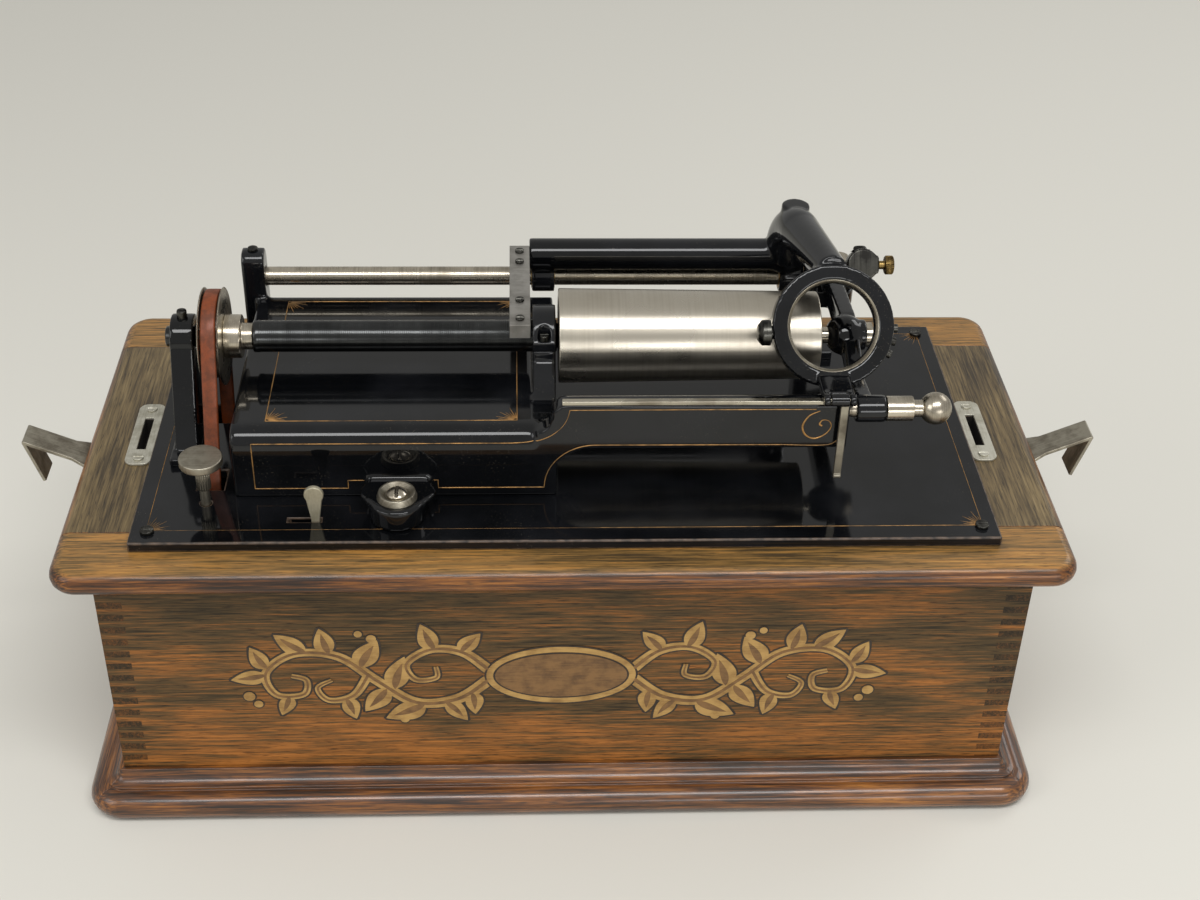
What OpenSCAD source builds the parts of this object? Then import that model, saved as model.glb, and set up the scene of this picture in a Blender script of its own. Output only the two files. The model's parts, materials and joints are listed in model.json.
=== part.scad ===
// Spring-driven cylinder phonograph: oak case, hinged top with the works above and the motor below.
// Frame: X to the right, Y to the back, Z up, millimetres, origin at the centre of the base's underside.

/* [Case] */
// Length of the case box outside its boards
case_w = 437; // [410:1:460]
// Depth of the case box outside its boards
case_d = 195; // [185:1:215]
// Height of the case boards
case_h = 143; // [130:1:160]
// Thickness of the case boards
board_t = 12; // [9:0.5:14]
// Height of one finger of the corner joints
finger_h = 3.75; // [3:0.25:8]
// Thickness of the bottom board
floor_t = 8; // [5:0.5:12]
// Height of the bottom board's underside above the table
floor_z = 4; // [2:0.5:8]

/* [Base moulding] */
// How far the base moulding stands out from the boards
plinth_out = 18; // [16:0.5:24]
// Height of the base moulding
plinth_h = 22; // [20:0.5:30]
// Height of the round lower member of the moulding
torus_h = 14; // [10:0.5:16]

/* [Top frame] */
// Thickness of the top rails
rail_t = 12; // [10:0.5:16]
// How far the top overhangs the boards
top_over = 16.5; // [14:0.5:22]
// Width of the front and back rails
long_rail_w = 34; // [30:0.5:38]
// Width of the side rails
side_rail_w = 46; // [42:0.5:50]
// Corner radius of the top seen from above
top_corner = 13; // [8:0.5:20]

/* [Top hinges] */
// Length of a hinge along its pin
hinge_l = 42; // [30:1:60]
// Distance of each hinge from the middle of the case
hinge_x = 150; // [110:1:170]
// Radius of a hinge knuckle
knuckle_r = 3.5; // [3:0.1:4]
// Radius of a hinge pin
hinge_pin_r = 1.5; // [1:0.1:2]
// Thickness of a hinge leaf
leaf_t = 1.5; // [1:0.1:2]

/* [Cover latches] */
// Width of a latch at its knuckle
latch_base_w = 42; // [30:1:60]
// Width of a latch arm
latch_arm_w = 15; // [10:0.5:20]
// Length of a latch arm from its pin to its tip
latch_l = 47; // [40:0.5:56]
// Rise of a latch arm above level, in degrees
latch_rise = 24; // [22:0.5:28]
// Length of the lip that hooks down from the tip
latch_lip = 24; // [16:0.5:30]
// Sheet thickness of a latch
latch_t = 1.8; // [1.2:0.1:2.2]

/* [Bedplate] */
// Length of the bedplate
plate_w = 401; // [396:1:402]
// Depth of the bedplate
plate_d = 187; // [180:1:200]
// Thickness of the bedplate
plate_t = 5; // [3:0.5:8]
// Length of a slot plate let into the wood beside the bedplate
slot_plate_l = 52; // [44:1:60]
// Width of a slot plate
slot_plate_w = 13; // [10:0.5:14]
// Thickness of a slot plate
slot_plate_t = 1.2; // [0.8:0.1:2]
// Length of the slot in a slot plate
slot_l = 27; // [20:1:34]
// Width of that slot
slot_w = 4.4; // [4.2:0.1:6]

/* [Body casting] */
// Left end of the casting
body_x0 = -156; // [-160:0.5:-150]
// Right end of the covered part of the casting
body_x1 = -5; // [-6:0.5:-4]
// Front face of the casting
body_y0 = -60.5; // [-64:0.5:-58]
// Back edge of the casting
body_y1 = 63.5; // [62:0.5:64]
// Height of the deck above the bedplate
deck_h = 36; // [32:0.5:38]
// Wall thickness of the casting
body_wall = 6; // [4:0.5:8]
// Radius of the rolled front edge
roll_r = 9; // [5:0.5:11]
// Right end of the front beam
beam_x1 = 130; // [126:0.5:132]
// Thickness of the front beam
beam_t = 10; // [9:0.5:11]
// Height of the beam's underside above the bedplate
beam_under_h = 27; // [22:0.5:30]
// Height of the beam's top above the bedplate
beam_top_h = 51; // [48:0.5:52]
// Thickness of the steel straight edge on the beam
edge_t = 2; // [1:0.25:3]

/* [Spindle] */
// Height of the spindle axis above the bedplate
axis_h = 51.3; // [48:0.1:54]
// Left end of the mandrel
mandrel_x0 = -3.5; // [-3.5:0.5:-1]
// Length of the mandrel
mandrel_l = 125; // [115:0.5:126]
// Large diameter of the mandrel
mandrel_d0 = 45.7; // [44:0.1:46]
// Small diameter of the mandrel
mandrel_d1 = 42.4; // [40:0.1:43]
// Diameter over the feed screw
feed_d = 15.6; // [14:0.1:16]
// Pitch of the grooves drawn on the feed screw, coarser than the real thread
feed_pitch = 2; // [1.5:0.1:4]
// Depth of those grooves
feed_groove = 0.35; // [0.2:0.05:0.6]
// Diameter of the spindle in the left post
journal_d = 10; // [8:0.5:12]
// Radius of the upper pulley where the belt runs
pulley_r = 20; // [18:0.5:21]
// Width of the upper pulley over its flanges
pulley_w = 10; // [9.5:0.5:11]
// Left face of the upper pulley
pulley_x0 = -173; // [-173.5:0.5:-172]

/* [Belt] */
// Width of the leather belt
belt_w = 7; // [6:0.1:7.5]
// Thickness of the leather belt
belt_t = 2.4; // [1.5:0.1:2.8]
// Radius of the lower pulley where the belt runs
lower_pulley_r = 30; // [28:0.5:32]

/* [Carriage] */
// Diameter of the back rod
rod_d = 9.5; // [8:0.1:10]
// Distance of the back rod behind the spindle
rod_y = 68; // [67:0.5:70]
// Height of the back rod above the bedplate
rod_h = 45.5; // [44:0.5:48]
// Diameter of the carriage tube
tube_d = 16; // [13:0.5:17]
// Height of the tube's axis above the rod's axis
tube_lift = 14.5; // [13.5:0.5:17]
// Distance of the tube's axis in front of the rod's axis
tube_ahead = 3; // [0:0.5:5]
// Left end of the carriage tube at rest
tube_x0 = -17; // [-18:0.5:-16]
// Middle of the eye along the spindle at rest
eye_x = 123.6; // [123:0.1:124]
// Outer diameter of the eye ring
eye_d = 57; // [54:0.5:58]
// Bore of the eye, where a reproducer seats
eye_bore_d = 40; // [36:0.5:42]
// Thickness of the eye ring
eye_t = 9; // [7:0.5:10]
// Tilt of the eye's axis above level, in degrees
eye_tilt = 33; // [31:0.5:35]
// Clear distance from the spindle axis to the back of the eye
eye_clear = 31.5; // [31:0.5:33]
// Radius of the gooseneck
neck_r = 10; // [8:0.5:10.5]

/* [End gate] */
// Distance of the gate's hinge pin to the right of the case's middle
gate_x = 143; // [142:0.5:146]
// Diameter of the gate's hinge pin
gate_pin_d = 6; // [4:0.5:8]
// Diameter of the ball on the gate's bolt
ball_d = 15.2; // [12:0.2:17]
// Diameter of the gate bolt's barrel
barrel_d = 11.7; // [10:0.1:13]

/* [Controls] */
// Diameter of the speed screw's head
speed_head_d = 20; // [18:0.5:22]
// Height of the speed screw above the bedplate
speed_h = 26.5; // [24:0.5:32]
// Width of the start lever's thumb piece
start_w = 9; // [7:0.5:11]
// Height of the start lever above the bedplate
start_h = 19; // [16:0.5:22]

/* [Motor] */
// Distance of the spring barrel behind the spindle
barrel_y = 20; // [18:0.5:22]
// Depth of the spring barrel's axis below the top of the wood
barrel_drop = 60; // [57:0.5:61]
// Teeth of the great wheel on the barrel
great_teeth = 60; // [58:1:62]
// Teeth of the second wheel
second_teeth = 54; // [52:1:56]
// Teeth of the wheel that drives the governor
gov_wheel_teeth = 48; // [46:1:50]
// Teeth of each pinion
pinion_teeth = 18; // [17:1:20]
// Tooth module of the great wheel's pair
great_module = 1.25; // [1.2:0.05:1.3]
// Tooth module of the other pairs
fine_module = 1; // [0.95:0.05:1.05]
// Thickness of a motor plate
motor_plate_t = 5; // [3:0.5:6]
// Diameter of the winding socket's bore
socket_d = 10; // [6:0.5:12]
// Diameter of the winding hole in the case side
wind_hole_d = 28; // [24:0.5:32]

/* [Fits] */
// Radial clearance of shafts and pins that turn
run_fit = 0.05; // [0.03:0.01:0.08]
// Gap between other surfaces that pass each other
pass_gap = 0.3; // [0.3:0.05:0.4]

/* [Hidden] */
$fn = 64;
// A little extra so that cuts run clean through
over = 1;
// Heights of the main levels
top_z = case_h + rail_t;
plate_z = top_z + plate_t;
axis_z = plate_z + axis_h;
deck_z = plate_z + deck_h;
beam_z0 = plate_z + beam_under_h;
beam_z1 = plate_z + beam_top_h;
edge_z = beam_z1 + edge_t;
rod_z = plate_z + rod_h;
// Half sizes of the case, the top and the bedplate
case_x = case_w / 2;
case_y = case_d / 2;
top_x = case_x + top_over;
top_y = case_y + top_over;
rail_y = top_y - long_rail_w;
rail_x = top_x - side_rail_w;
plate_x = plate_w / 2;
plate_y = plate_d / 2;
plate_shift = 1.5;
plate_screw_r = 3.2;
plate_screw_h = 1.8;
// Hinge axis of the top, under the back overhang
lid_y = case_y + knuckle_r + 0.5;
lid_z = case_h;
leaf_drop = 24;
leaf_back = top_y - lid_y - rail_t / 2 + 3.5;
// Latch pin beside the case, and the latch's bracket
latch_pin_r = 1.5;
latch_knuckle_r = 3;
bracket_t = 1;
bracket_drop = 16;
bracket_rise = 4;
latch_x = case_x + bracket_t + latch_knuckle_r + pass_gap;
latch_z = case_h - 6.5;
latch_y = -2;
latch_ear = 6;
latch_neck = 21;
latch_shoulder = 0.6;
latch_lip_lean = 17;
// Slot plates beside the bedplate
slot_x = plate_x + 0.5 + slot_plate_w / 2;
slot_screw_y = slot_plate_l / 2 - 5;
slot_depth = rail_t - 3;
slot_corner = 4.5;
// Foot and bend of the front beam
beam_foot = 4;
beam_bend = 21.6;
// Steel strip on the beam: how far right of the casting it starts, and its width
edge_start = 2;
edge_w = 3;
// Rod post, centre bearing and left post
post_t = 11.5;
post_x0 = body_x0 - 7;
post_top = rod_z + 15.5;
bearing_t = 11;
bearing_x0 = body_x1 - bearing_t;
bearing_r = 15;
cap_screw_y = bearing_r - 2.6;
cap_seat_h = 5;
// Depth of the flat seats cut for screws in round tops
seat_cut = 0.6;
left_post_t = 11;
left_post_gap = 4;
left_post_x1 = pulley_x0 - left_post_gap;
left_post_x0 = left_post_x1 - left_post_t;
left_post_r = 11;
post_front = 30;
post_back = 26;
post_toe = 6;
flange_h = 3.5;
pulley_x1 = pulley_x0 + pulley_w;
belt_x = (pulley_x0 + pulley_x1) / 2;
collar_l = 8;
collar_r = 10.5;
hub_l = 6;
hub_r = 6.4;
// Carriage: tube, lugs on the rod, gooseneck and eye
tube_y = rod_y - tube_ahead;
tube_z = rod_z + tube_lift;
lug_l = 12;
lug_r = 8;
bush_r = 6.2;
neck_x = eye_x - 10;
neck_bend = 26;
neck_tip_r = 7.5;
neck_stub_r = 7;
neck_stub_y = 9;
neck_stub_up = 7;
neck_stub_lean = 2;
eye_bevel = 2;
eye_relief = 1.5;
eye_relief_l = 20;
eye_n = eye_clear + eye_t / 2;
eye_y = -eye_n * cos(eye_tilt) + 2;
eye_z = axis_z + eye_n * sin(eye_tilt) + 2.6;
eye_top_y = eye_y + (eye_d / 2 - 3) * sin(eye_tilt);
eye_top_z = eye_z + (eye_d / 2 - 3) * cos(eye_tilt);
eye_low_y = eye_y - (eye_d / 2 - 2) * sin(eye_tilt);
foot_w = 15;
foot_ear_w = 3;
lever_pin_r = 1.2;
lever_l = 42;
lever_blade_w = 3.6;
foot_y0 = body_y0 - 0.5;
lever_pin_y = body_y0 - 4.5;
lever_pin_z = edge_z + 3.5;
knob_r = 6;
knob_l = 4;
knob_out = 0.5;
nut_bar_w = 10;
nut_bar_t = 1.5;
nut_x = tube_x0 - nut_bar_w;
nut_top_z = axis_z + feed_d / 2 + 3;
// End gate and its bolt
gate_arm_t = 8;
gate_eye_r = 9;
gate_lug_z = plate_z + 40;
gate_eye_h = 14;
gate_boss_x = beam_x1 + 1;
gate_boss_l = 15;
gate_boss_r = 7.5;
gate_dome_r = 10;
centre_pin_r = 4;
bolt_y = body_y0 + beam_t / 2;
bolt_z = beam_z1 - 5.5;
bolt_boss_x = beam_x1 + 3;
bolt_boss_l = 14;
bolt_boss_r = 6.4;
bolt_r = 4;
bolt_nose = 5;
// Controls on the bedplate
speed_x = -168.7;
speed_y = -64.7;
speed_r = 2.3;
speed_grip_r = 3.1;
start_x = -116.7;
start_y = 2 - rail_y;
start_travel = 10;
start_stem = 4;
start_plate_t = 2.4;
lug_down_x = -79;
lug_down_y = -75.5;
lug_down_r = 13;
lug_down_h = 11;
hold_pin_r = 4;
hold_head_r = 5;
cup_r = 9.5;
cup_h = 3.2;
cup_floor = 1;
lug_ear = 17.5;
lug_ear_front = 3;
lug_ear_back = 7;
lug_ear_taper = 4;
lug_ear_t = 3;
// Motor: shafts that turn along X between two plates, hung from the top
barrel_z = top_z - barrel_drop;
great_r = great_module * great_teeth / 2;
great_pinion_r = great_module * pinion_teeth / 2;
second_r = fine_module * second_teeth / 2;
fine_pinion_r = fine_module * pinion_teeth / 2;
gov_wheel_r = fine_module * gov_wheel_teeth / 2;
drive_y = -35;
drive_z = top_z - 55;
// The second arbor lies where both of its centre distances meet, below the line of the other two
leg_a = great_r + great_pinion_r;
leg_b = second_r + fine_pinion_r;
span = norm([drive_y - barrel_y, drive_z - barrel_z]);
along = (leg_a * leg_a - leg_b * leg_b + span * span) / (2 * span);
aside = sqrt(leg_a * leg_a - along * along);
span_dir = [(drive_y - barrel_y) / span, (drive_z - barrel_z) / span];
second_y = barrel_y + along * span_dir[0] + aside * span_dir[1] * -1;
second_z = barrel_z + along * span_dir[1] + aside * span_dir[0];
gov_angle = 60;
gov_leg = gov_wheel_r + fine_pinion_r;
gov_y = drive_y + gov_leg * cos(gov_angle);
gov_z = drive_z + gov_leg * sin(gov_angle);
motor_x0 = -140;
motor_x1 = 65;
motor_y0 = -52;
motor_y1 = 58;
motor_z0 = top_z - 103;
motor_pillar_in = 8;
motor_pillar_r = 4;
arbor_r = 4;
socket_l = 16;
socket_gap = 3;
great_x = -50;
great_w = 8;
drum_r = great_r - 2;
drum_x1 = motor_x1 - motor_plate_t - 6;
second_x = -113;
wheel_w = 6;
gov_wheel_x = -129;
face_extra = 2;
backlash = 0.3;

// A box between two corners
module block(x0, x1, y0, y1, z0, z1) {
    translate([x0, y0, z0]) cube([x1 - x0, y1 - y0, z1 - z0]);
}

// A round bar along X, tapered where two radii are given
module bar_x(x0, x1, y, z, r, r_end = -1) {
    translate([x0, y, z]) rotate([0, 90, 0])
        cylinder(h = x1 - x0, r1 = r, r2 = r_end < 0 ? r : r_end);
}

// A round bar along Z
module bar_z(x, y, z0, z1, r) {
    translate([x, y, z0]) cylinder(h = z1 - z0, r = r);
}

// A flat outline in Y and Z, pulled along X
module pull_x(x0, x1) {
    translate([x0, 0, 0]) rotate([90, 0, 90]) linear_extrude(x1 - x0) children();
}

// A flat outline in X and Z, pulled along Y
module pull_y(y0, y1) {
    translate([0, y1, 0]) rotate([90, 0, 0]) linear_extrude(y1 - y0) children();
}

// Points of an arc, from one angle to another
function arc(c, r, a0, a1, n = 8) =
    [for (i = [0 : n]) [c[0] + r * cos(a0 + (a1 - a0) * i / n), c[1] + r * sin(a0 + (a1 - a0) * i / n)]];

// Slotted round screw head that points up
module screw_head(x, y, z, r, h) {
    difference() {
        bar_z(x, y, z, z + h, r);
        block(x - r - over, x + r + over, y - r / 6, y + r / 6, z + h * 0.55, z + h + over);
    }
}

// Notches of a corner joint at one end of a board, every second layer
module notches(x0, x1, y0, y1, first) {
    count = ceil(case_h / finger_h / 2);
    for (i = [0 : count])
        block(x0, x1, y0, y1, (2 * i + first) * finger_h, (2 * i + 1 + first) * finger_h);
}

// A long case board, with its comb at both ends
module long_board(side) {
    y0 = side < 0 ? -case_y : case_y - board_t;
    difference() {
        block(-case_x, case_x, y0, y0 + board_t, 0, case_h);
        for (end = [-1, 1])
            notches(end < 0 ? -case_x - over : case_x - board_t, end < 0 ? board_t - case_x : case_x + over,
                y0 - over, y0 + board_t + over, 1);
    }
}

// A short case board, with the matching comb
module short_board(side) {
    x0 = side < 0 ? -case_x : case_x - board_t;
    difference() {
        block(x0, x0 + board_t, -case_y, case_y, 0, case_h);
        for (end = [-1, 1])
            notches(x0 - over, x0 + board_t + over,
                end < 0 ? -case_y - over : case_y - board_t, end < 0 ? board_t - case_y : case_y + over, 0);
    }
}

module front_board() { color("saddlebrown") long_board(-1); }

module back_board() { color("saddlebrown") long_board(1); }

module left_board() { color("saddlebrown") short_board(-1); }

module right_board() {
    color("saddlebrown") difference() {
        short_board(1);
        bar_x(case_x - board_t - over, case_x + over, barrel_y, barrel_z, wind_hole_d / 2);
    }
}

module bottom_board() {
    color("sienna") block(board_t - case_x, case_x - board_t, board_t - case_y, case_y - board_t,
        floor_z, floor_z + floor_t);
}

// Section of the base moulding: a round lower member, a step and a cove up to the boards
module plinth_section() {
    r = torus_h / 2;
    cove = plinth_h - torus_h - 1.5;
    step = plinth_out - r - 2;
    polygon(concat([[0, 0]], arc([plinth_out - r, r], r, -90, 90), [[step, torus_h]],
        arc([step, plinth_h], cove, 270, 180, 6), [[0, plinth_h]]));
}

// One mitred length of moulding along the front, and one along the right side
module front_length() {
    translate([-case_x, -case_y, 0]) rotate([90, 0, 90]) mirror([1, 0, 0])
        linear_extrude(case_w) plinth_section();
    translate([case_x, -case_y, 0]) rotate([0, 0, -90]) rotate_extrude(angle = 45) plinth_section();
    translate([-case_x, -case_y, 0]) rotate([0, 0, -135]) rotate_extrude(angle = 45) plinth_section();
}

module side_length() {
    translate([case_x, case_y, 0]) rotate([90, 0, 0]) linear_extrude(case_d) plinth_section();
    translate([case_x, -case_y, 0]) rotate([0, 0, -45]) rotate_extrude(angle = 45) plinth_section();
    translate([case_x, case_y, 0]) rotate_extrude(angle = 45) plinth_section();
}

module front_moulding() { color("saddlebrown") front_length(); }

module back_moulding() { color("saddlebrown") rotate([0, 0, 180]) front_length(); }

module side_mouldings() { color("saddlebrown") for (turn = [0, 180]) rotate([0, 0, turn]) side_length(); }

// Knuckles of one hinge: the outer two thirds or the middle third
module hinge_knuckles(x, middle) {
    third = hinge_l / 3;
    for (i = middle ? [1] : [0, 2])
        difference() {
            bar_x(x - hinge_l / 2 + i * third + (middle ? pass_gap : 0),
                x - hinge_l / 2 + (i + 1) * third - (middle ? pass_gap : 0), lid_y, lid_z, knuckle_r);
            bar_x(x - hinge_l, x + hinge_l, lid_y, lid_z, hinge_pin_r + (middle ? run_fit : 0));
        }
}

module case_hinge_leaves() {
    color("darkgoldenrod") for (x = [-hinge_x, hinge_x]) {
        hinge_knuckles(x, false);
        difference() {
            block(x - hinge_l / 2, x + hinge_l / 2, case_y, case_y + leaf_t, lid_z - leaf_drop, lid_z);
            block(x - hinge_l / 6, x + hinge_l / 6, case_y - over, case_y + leaf_t + over,
                lid_z - knuckle_r - 1, lid_z + over);
        }
    }
}

module hinge_pins() {
    color("goldenrod") for (x = [-hinge_x, hinge_x])
        bar_x(x - hinge_l / 2, x + hinge_l / 2, lid_y, lid_z, hinge_pin_r);
}

module top_hinge_leaves() {
    color("darkgoldenrod") for (x = [-hinge_x, hinge_x]) {
        hinge_knuckles(x, true);
        difference() {
            block(x - hinge_l / 6 + pass_gap, x + hinge_l / 6 - pass_gap, lid_y, lid_y + leaf_back,
                lid_z, lid_z + leaf_t);
            bar_x(x - hinge_l, x + hinge_l, lid_y, lid_z, hinge_pin_r + run_fit);
        }
        block(x - hinge_l / 2, x + hinge_l / 2, lid_y + knuckle_r + 0.5, lid_y + leaf_back,
            lid_z, lid_z + leaf_t);
    }
}

module winding_escutcheon() {
    r = wind_hole_d / 2;
    color("darkgoldenrod") difference() {
        union() {
            bar_x(case_x, case_x + 2, barrel_y, barrel_z, r + 6);
            bar_x(case_x - board_t, case_x + 1, barrel_y, barrel_z, r);
        }
        bar_x(case_x - board_t - over, case_x + 3, barrel_y, barrel_z, r - 1.5);
    }
}

// Side of the case that a latch sits on, drawn on the right and mirrored for the left
module on_side(side) {
    if (side < 0) mirror([1, 0, 0]) children();
    else children();
}

// Bracket on the case side whose ears hold the latch's pin
module latch_bracket() {
    half = latch_base_w / 2;
    difference() {
        union() {
            block(case_x, case_x + bracket_t, latch_y - half, latch_y + half,
                latch_z - bracket_drop, latch_z + bracket_rise);
            for (end = [-1, 1]) translate([latch_x, latch_y + end * (half - latch_ear / 2), latch_z])
                rotate([90, 0, 0]) cylinder(h = latch_ear, r = latch_knuckle_r, center = true);
            for (end = [-1, 1]) translate([0, latch_y + end * (half - latch_ear / 2), latch_z])
                block(case_x, latch_x, -latch_ear / 2, latch_ear / 2, -latch_knuckle_r, 0);
        }
        translate([latch_x, latch_y, latch_z]) rotate([90, 0, 0])
            cylinder(h = latch_base_w + 2 * over, r = latch_pin_r, center = true);
    }
}

module latch_brackets() { color("dimgray") for (side = [-1, 1]) on_side(side) latch_bracket(); }

module latch_pins() {
    color("gray") for (side = [-1, 1]) on_side(side) translate([latch_x, latch_y, latch_z])
        rotate([90, 0, 0]) cylinder(h = latch_base_w, r = latch_pin_r, center = true);
}

// A point at a distance and an angle from another
function away(p, angle, distance) = [p[0] + distance * cos(angle), p[1] + distance * sin(angle)];

// Sheet latch: a knuckle, an arm that narrows and rises, and a lip that hooks down
module latch() {
    inner = latch_base_w - 2 * latch_ear - 2 * pass_gap;
    base = inner / 2 - latch_shoulder;
    arm = latch_arm_w / 2;
    half_t = latch_t / 2;
    lip_angle = -90 - latch_lip_lean;
    tip = away([0, 0], latch_rise, latch_l);
    lip_end = away(tip, lip_angle, latch_lip);
    crook = away(tip, (latch_rise + lip_angle) / 2 - 90, half_t / cos((latch_rise - lip_angle) / 2));
    flank = latch_knuckle_r + latch_shoulder;
    difference() {
        translate([latch_x, latch_y, latch_z]) union() {
            rotate([90, 0, 0]) cylinder(h = inner, r = latch_knuckle_r, center = true);
            intersection() {
                pull_y(-base, base) polygon(concat(
                    [away([0, 0], latch_rise - 90, half_t), crook, away(lip_end, lip_angle - 90, half_t),
                        away(lip_end, lip_angle + 90, half_t)],
                    arc(tip, half_t, lip_angle + 90, latch_rise + 90),
                    [away([0, 0], latch_rise + 90, half_t)]));
                translate([0, 0, -latch_l]) linear_extrude(2 * latch_l)
                    polygon([[-flank, -base], [flank, -base], [latch_neck, -arm], [latch_l, -arm],
                        [latch_l, arm], [latch_neck, arm], [flank, base], [-flank, base]]);
            }
        }
        translate([latch_x, latch_y, latch_z]) rotate([90, 0, 0])
            cylinder(h = latch_base_w, r = latch_pin_r + run_fit, center = true);
    }
}

module left_latch() { color("silver") on_side(-1) latch(); }

module right_latch() { color("silver") on_side(1) latch(); }

// Section of a top rail of the given width, with its half round nose
module rail_section(w) {
    r = rail_t / 2;
    polygon(concat([[0, 0]], arc([w - r, r], r, -90, 90), [[0, rail_t]]));
}

// Front rail with both rounded corners; the back rail is the same piece turned round
module long_rail() {
    run_x = top_x - top_corner;
    run_y = top_y - top_corner;
    translate([-run_x, -rail_y, case_h]) rotate([90, 0, 90]) mirror([1, 0, 0])
        linear_extrude(2 * run_x) rail_section(long_rail_w);
    translate([run_x, -rail_y, case_h]) rotate([90, 0, 0])
        linear_extrude(run_y - rail_y) rail_section(top_corner);
    mirror([1, 0, 0]) translate([run_x, -rail_y, case_h]) rotate([90, 0, 0])
        linear_extrude(run_y - rail_y) rail_section(top_corner);
    translate([run_x, -run_y, case_h]) rotate([0, 0, -90]) rotate_extrude(angle = 90)
        rail_section(top_corner);
    translate([-run_x, -run_y, case_h]) rotate([0, 0, 180]) rotate_extrude(angle = 90)
        rail_section(top_corner);
}

module front_rail() { color("peru") long_rail(); }

module back_rail() {
    color("peru") difference() {
        rotate([0, 0, 180]) long_rail();
        for (x = [-hinge_x, hinge_x]) {
            bar_x(x - hinge_l / 2 - pass_gap, x + hinge_l / 2 + pass_gap, lid_y, lid_z, knuckle_r + 0.5);
            block(x - hinge_l / 2, x + hinge_l / 2, lid_y, lid_y + leaf_back, lid_z - over, lid_z + leaf_t);
        }
    }
}

module side_rails() {
    color("peru") for (side = [-1, 1]) on_side(side) difference() {
        translate([rail_x, rail_y, case_h]) rotate([90, 0, 0])
            linear_extrude(2 * rail_y) rail_section(side_rail_w);
        block(slot_x - slot_w / 2, slot_x + slot_w / 2, latch_y - slot_l / 2, latch_y + slot_l / 2,
            top_z - slot_depth, top_z + over);
    }
}

// A flat plate with round corners, given by its middle and half sizes
module round_plate(x, y, half_w, half_l, r, z0, z1) {
    block(x - half_w + r, x + half_w - r, y - half_l, y + half_l, z0, z1);
    block(x - half_w, x + half_w, y - half_l + r, y + half_l - r, z0, z1);
    for (i = [-1, 1], k = [-1, 1]) bar_z(x + i * (half_w - r), y + k * (half_l - r), z0, z1, r);
}

module slot_plates() {
    color("silver") for (side = [-1, 1]) on_side(side) difference() {
        round_plate(slot_x, latch_y, slot_plate_w / 2, slot_plate_l / 2, slot_corner,
            top_z, top_z + slot_plate_t);
        block(slot_x - slot_w / 2, slot_x + slot_w / 2, latch_y - slot_l / 2, latch_y + slot_l / 2,
            top_z - over, top_z + slot_plate_t + over);
    }
}

module slot_plate_screws() {
    color("gray") for (side = [-1, 1], end = [-1, 1]) on_side(side)
        screw_head(slot_x, latch_y + end * slot_screw_y, top_z + slot_plate_t, 2.6, 0.8);
}

// Straight runs of the belt: Y where the middle of the belt crosses a height, in front or behind
belt_mid = pass_gap + belt_t / 2;
belt_span = norm([drive_y, drive_z - axis_z]);
belt_dir = [drive_y / belt_span, (drive_z - axis_z) / belt_span];
belt_sin = (lower_pulley_r - pulley_r) / belt_span;
belt_cos = sqrt(1 - belt_sin * belt_sin);
function belt_normal(side) = [-side * belt_dir[1] * belt_cos - belt_dir[0] * belt_sin,
    side * belt_dir[0] * belt_cos - belt_dir[1] * belt_sin];
function belt_y(side, z) =
    (axis_z * belt_normal(side)[1] + pulley_r + belt_mid - z * belt_normal(side)[1]) / belt_normal(side)[0];

module bedplate() {
    belt_gap = 8;
    color("black") difference() {
        block(-plate_x, plate_x, -plate_y - plate_shift, plate_y - plate_shift, top_z, plate_z);
        for (side = [-1, 1]) translate([0, belt_y(side, top_z), 0])
            block(pulley_x0 - 1, pulley_x1 + 1, -belt_gap, belt_gap, top_z - over, plate_z + over);
        bar_z(speed_x, speed_y, top_z - over, plate_z + over, speed_r + run_fit);
        block(start_x - start_stem / 2 - start_travel - pass_gap, start_x + start_stem / 2 + pass_gap,
            start_y - start_plate_t / 2 - pass_gap, start_y + start_plate_t / 2 + pass_gap,
            top_z - over, plate_z + over);
    }
}

module bedplate_screws() {
    color("gray") for (x = [-1, 1], y = [-1, 1])
        screw_head(x * (plate_x - 8), y * (plate_y - 8.5) - plate_shift, plate_z, plate_screw_r,
            plate_screw_h);
}

// Section of the covered part of the casting, with its rolled front edge
module body_section(inset) {
    r = roll_r - inset;
    polygon(concat([[body_y0 + inset, plate_z]],
        arc([body_y0 + roll_r, deck_z - roll_r], r, 180, 90),
        [[body_y1 - inset, deck_z - inset], [body_y1 - inset, plate_z]]));
}

// Front wall and the beam that reaches to the right over open space
module beam_outline() {
    s = (beam_z1 - deck_z) / 2;
    root_x = body_x1 + 5 - 2 * s;
    foot_x = body_x1 - beam_foot;
    polygon(concat([[root_x, plate_z], [foot_x, plate_z]],
        arc([foot_x + beam_bend, beam_z0 - beam_bend], beam_bend, 180, 90),
        [[beam_x1, beam_z0], [beam_x1, beam_z1]],
        arc([root_x + 2 * s, beam_z1 - s], s, 90, 180), arc([root_x, beam_z1 - s], s, 0, -90)));
}

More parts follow.
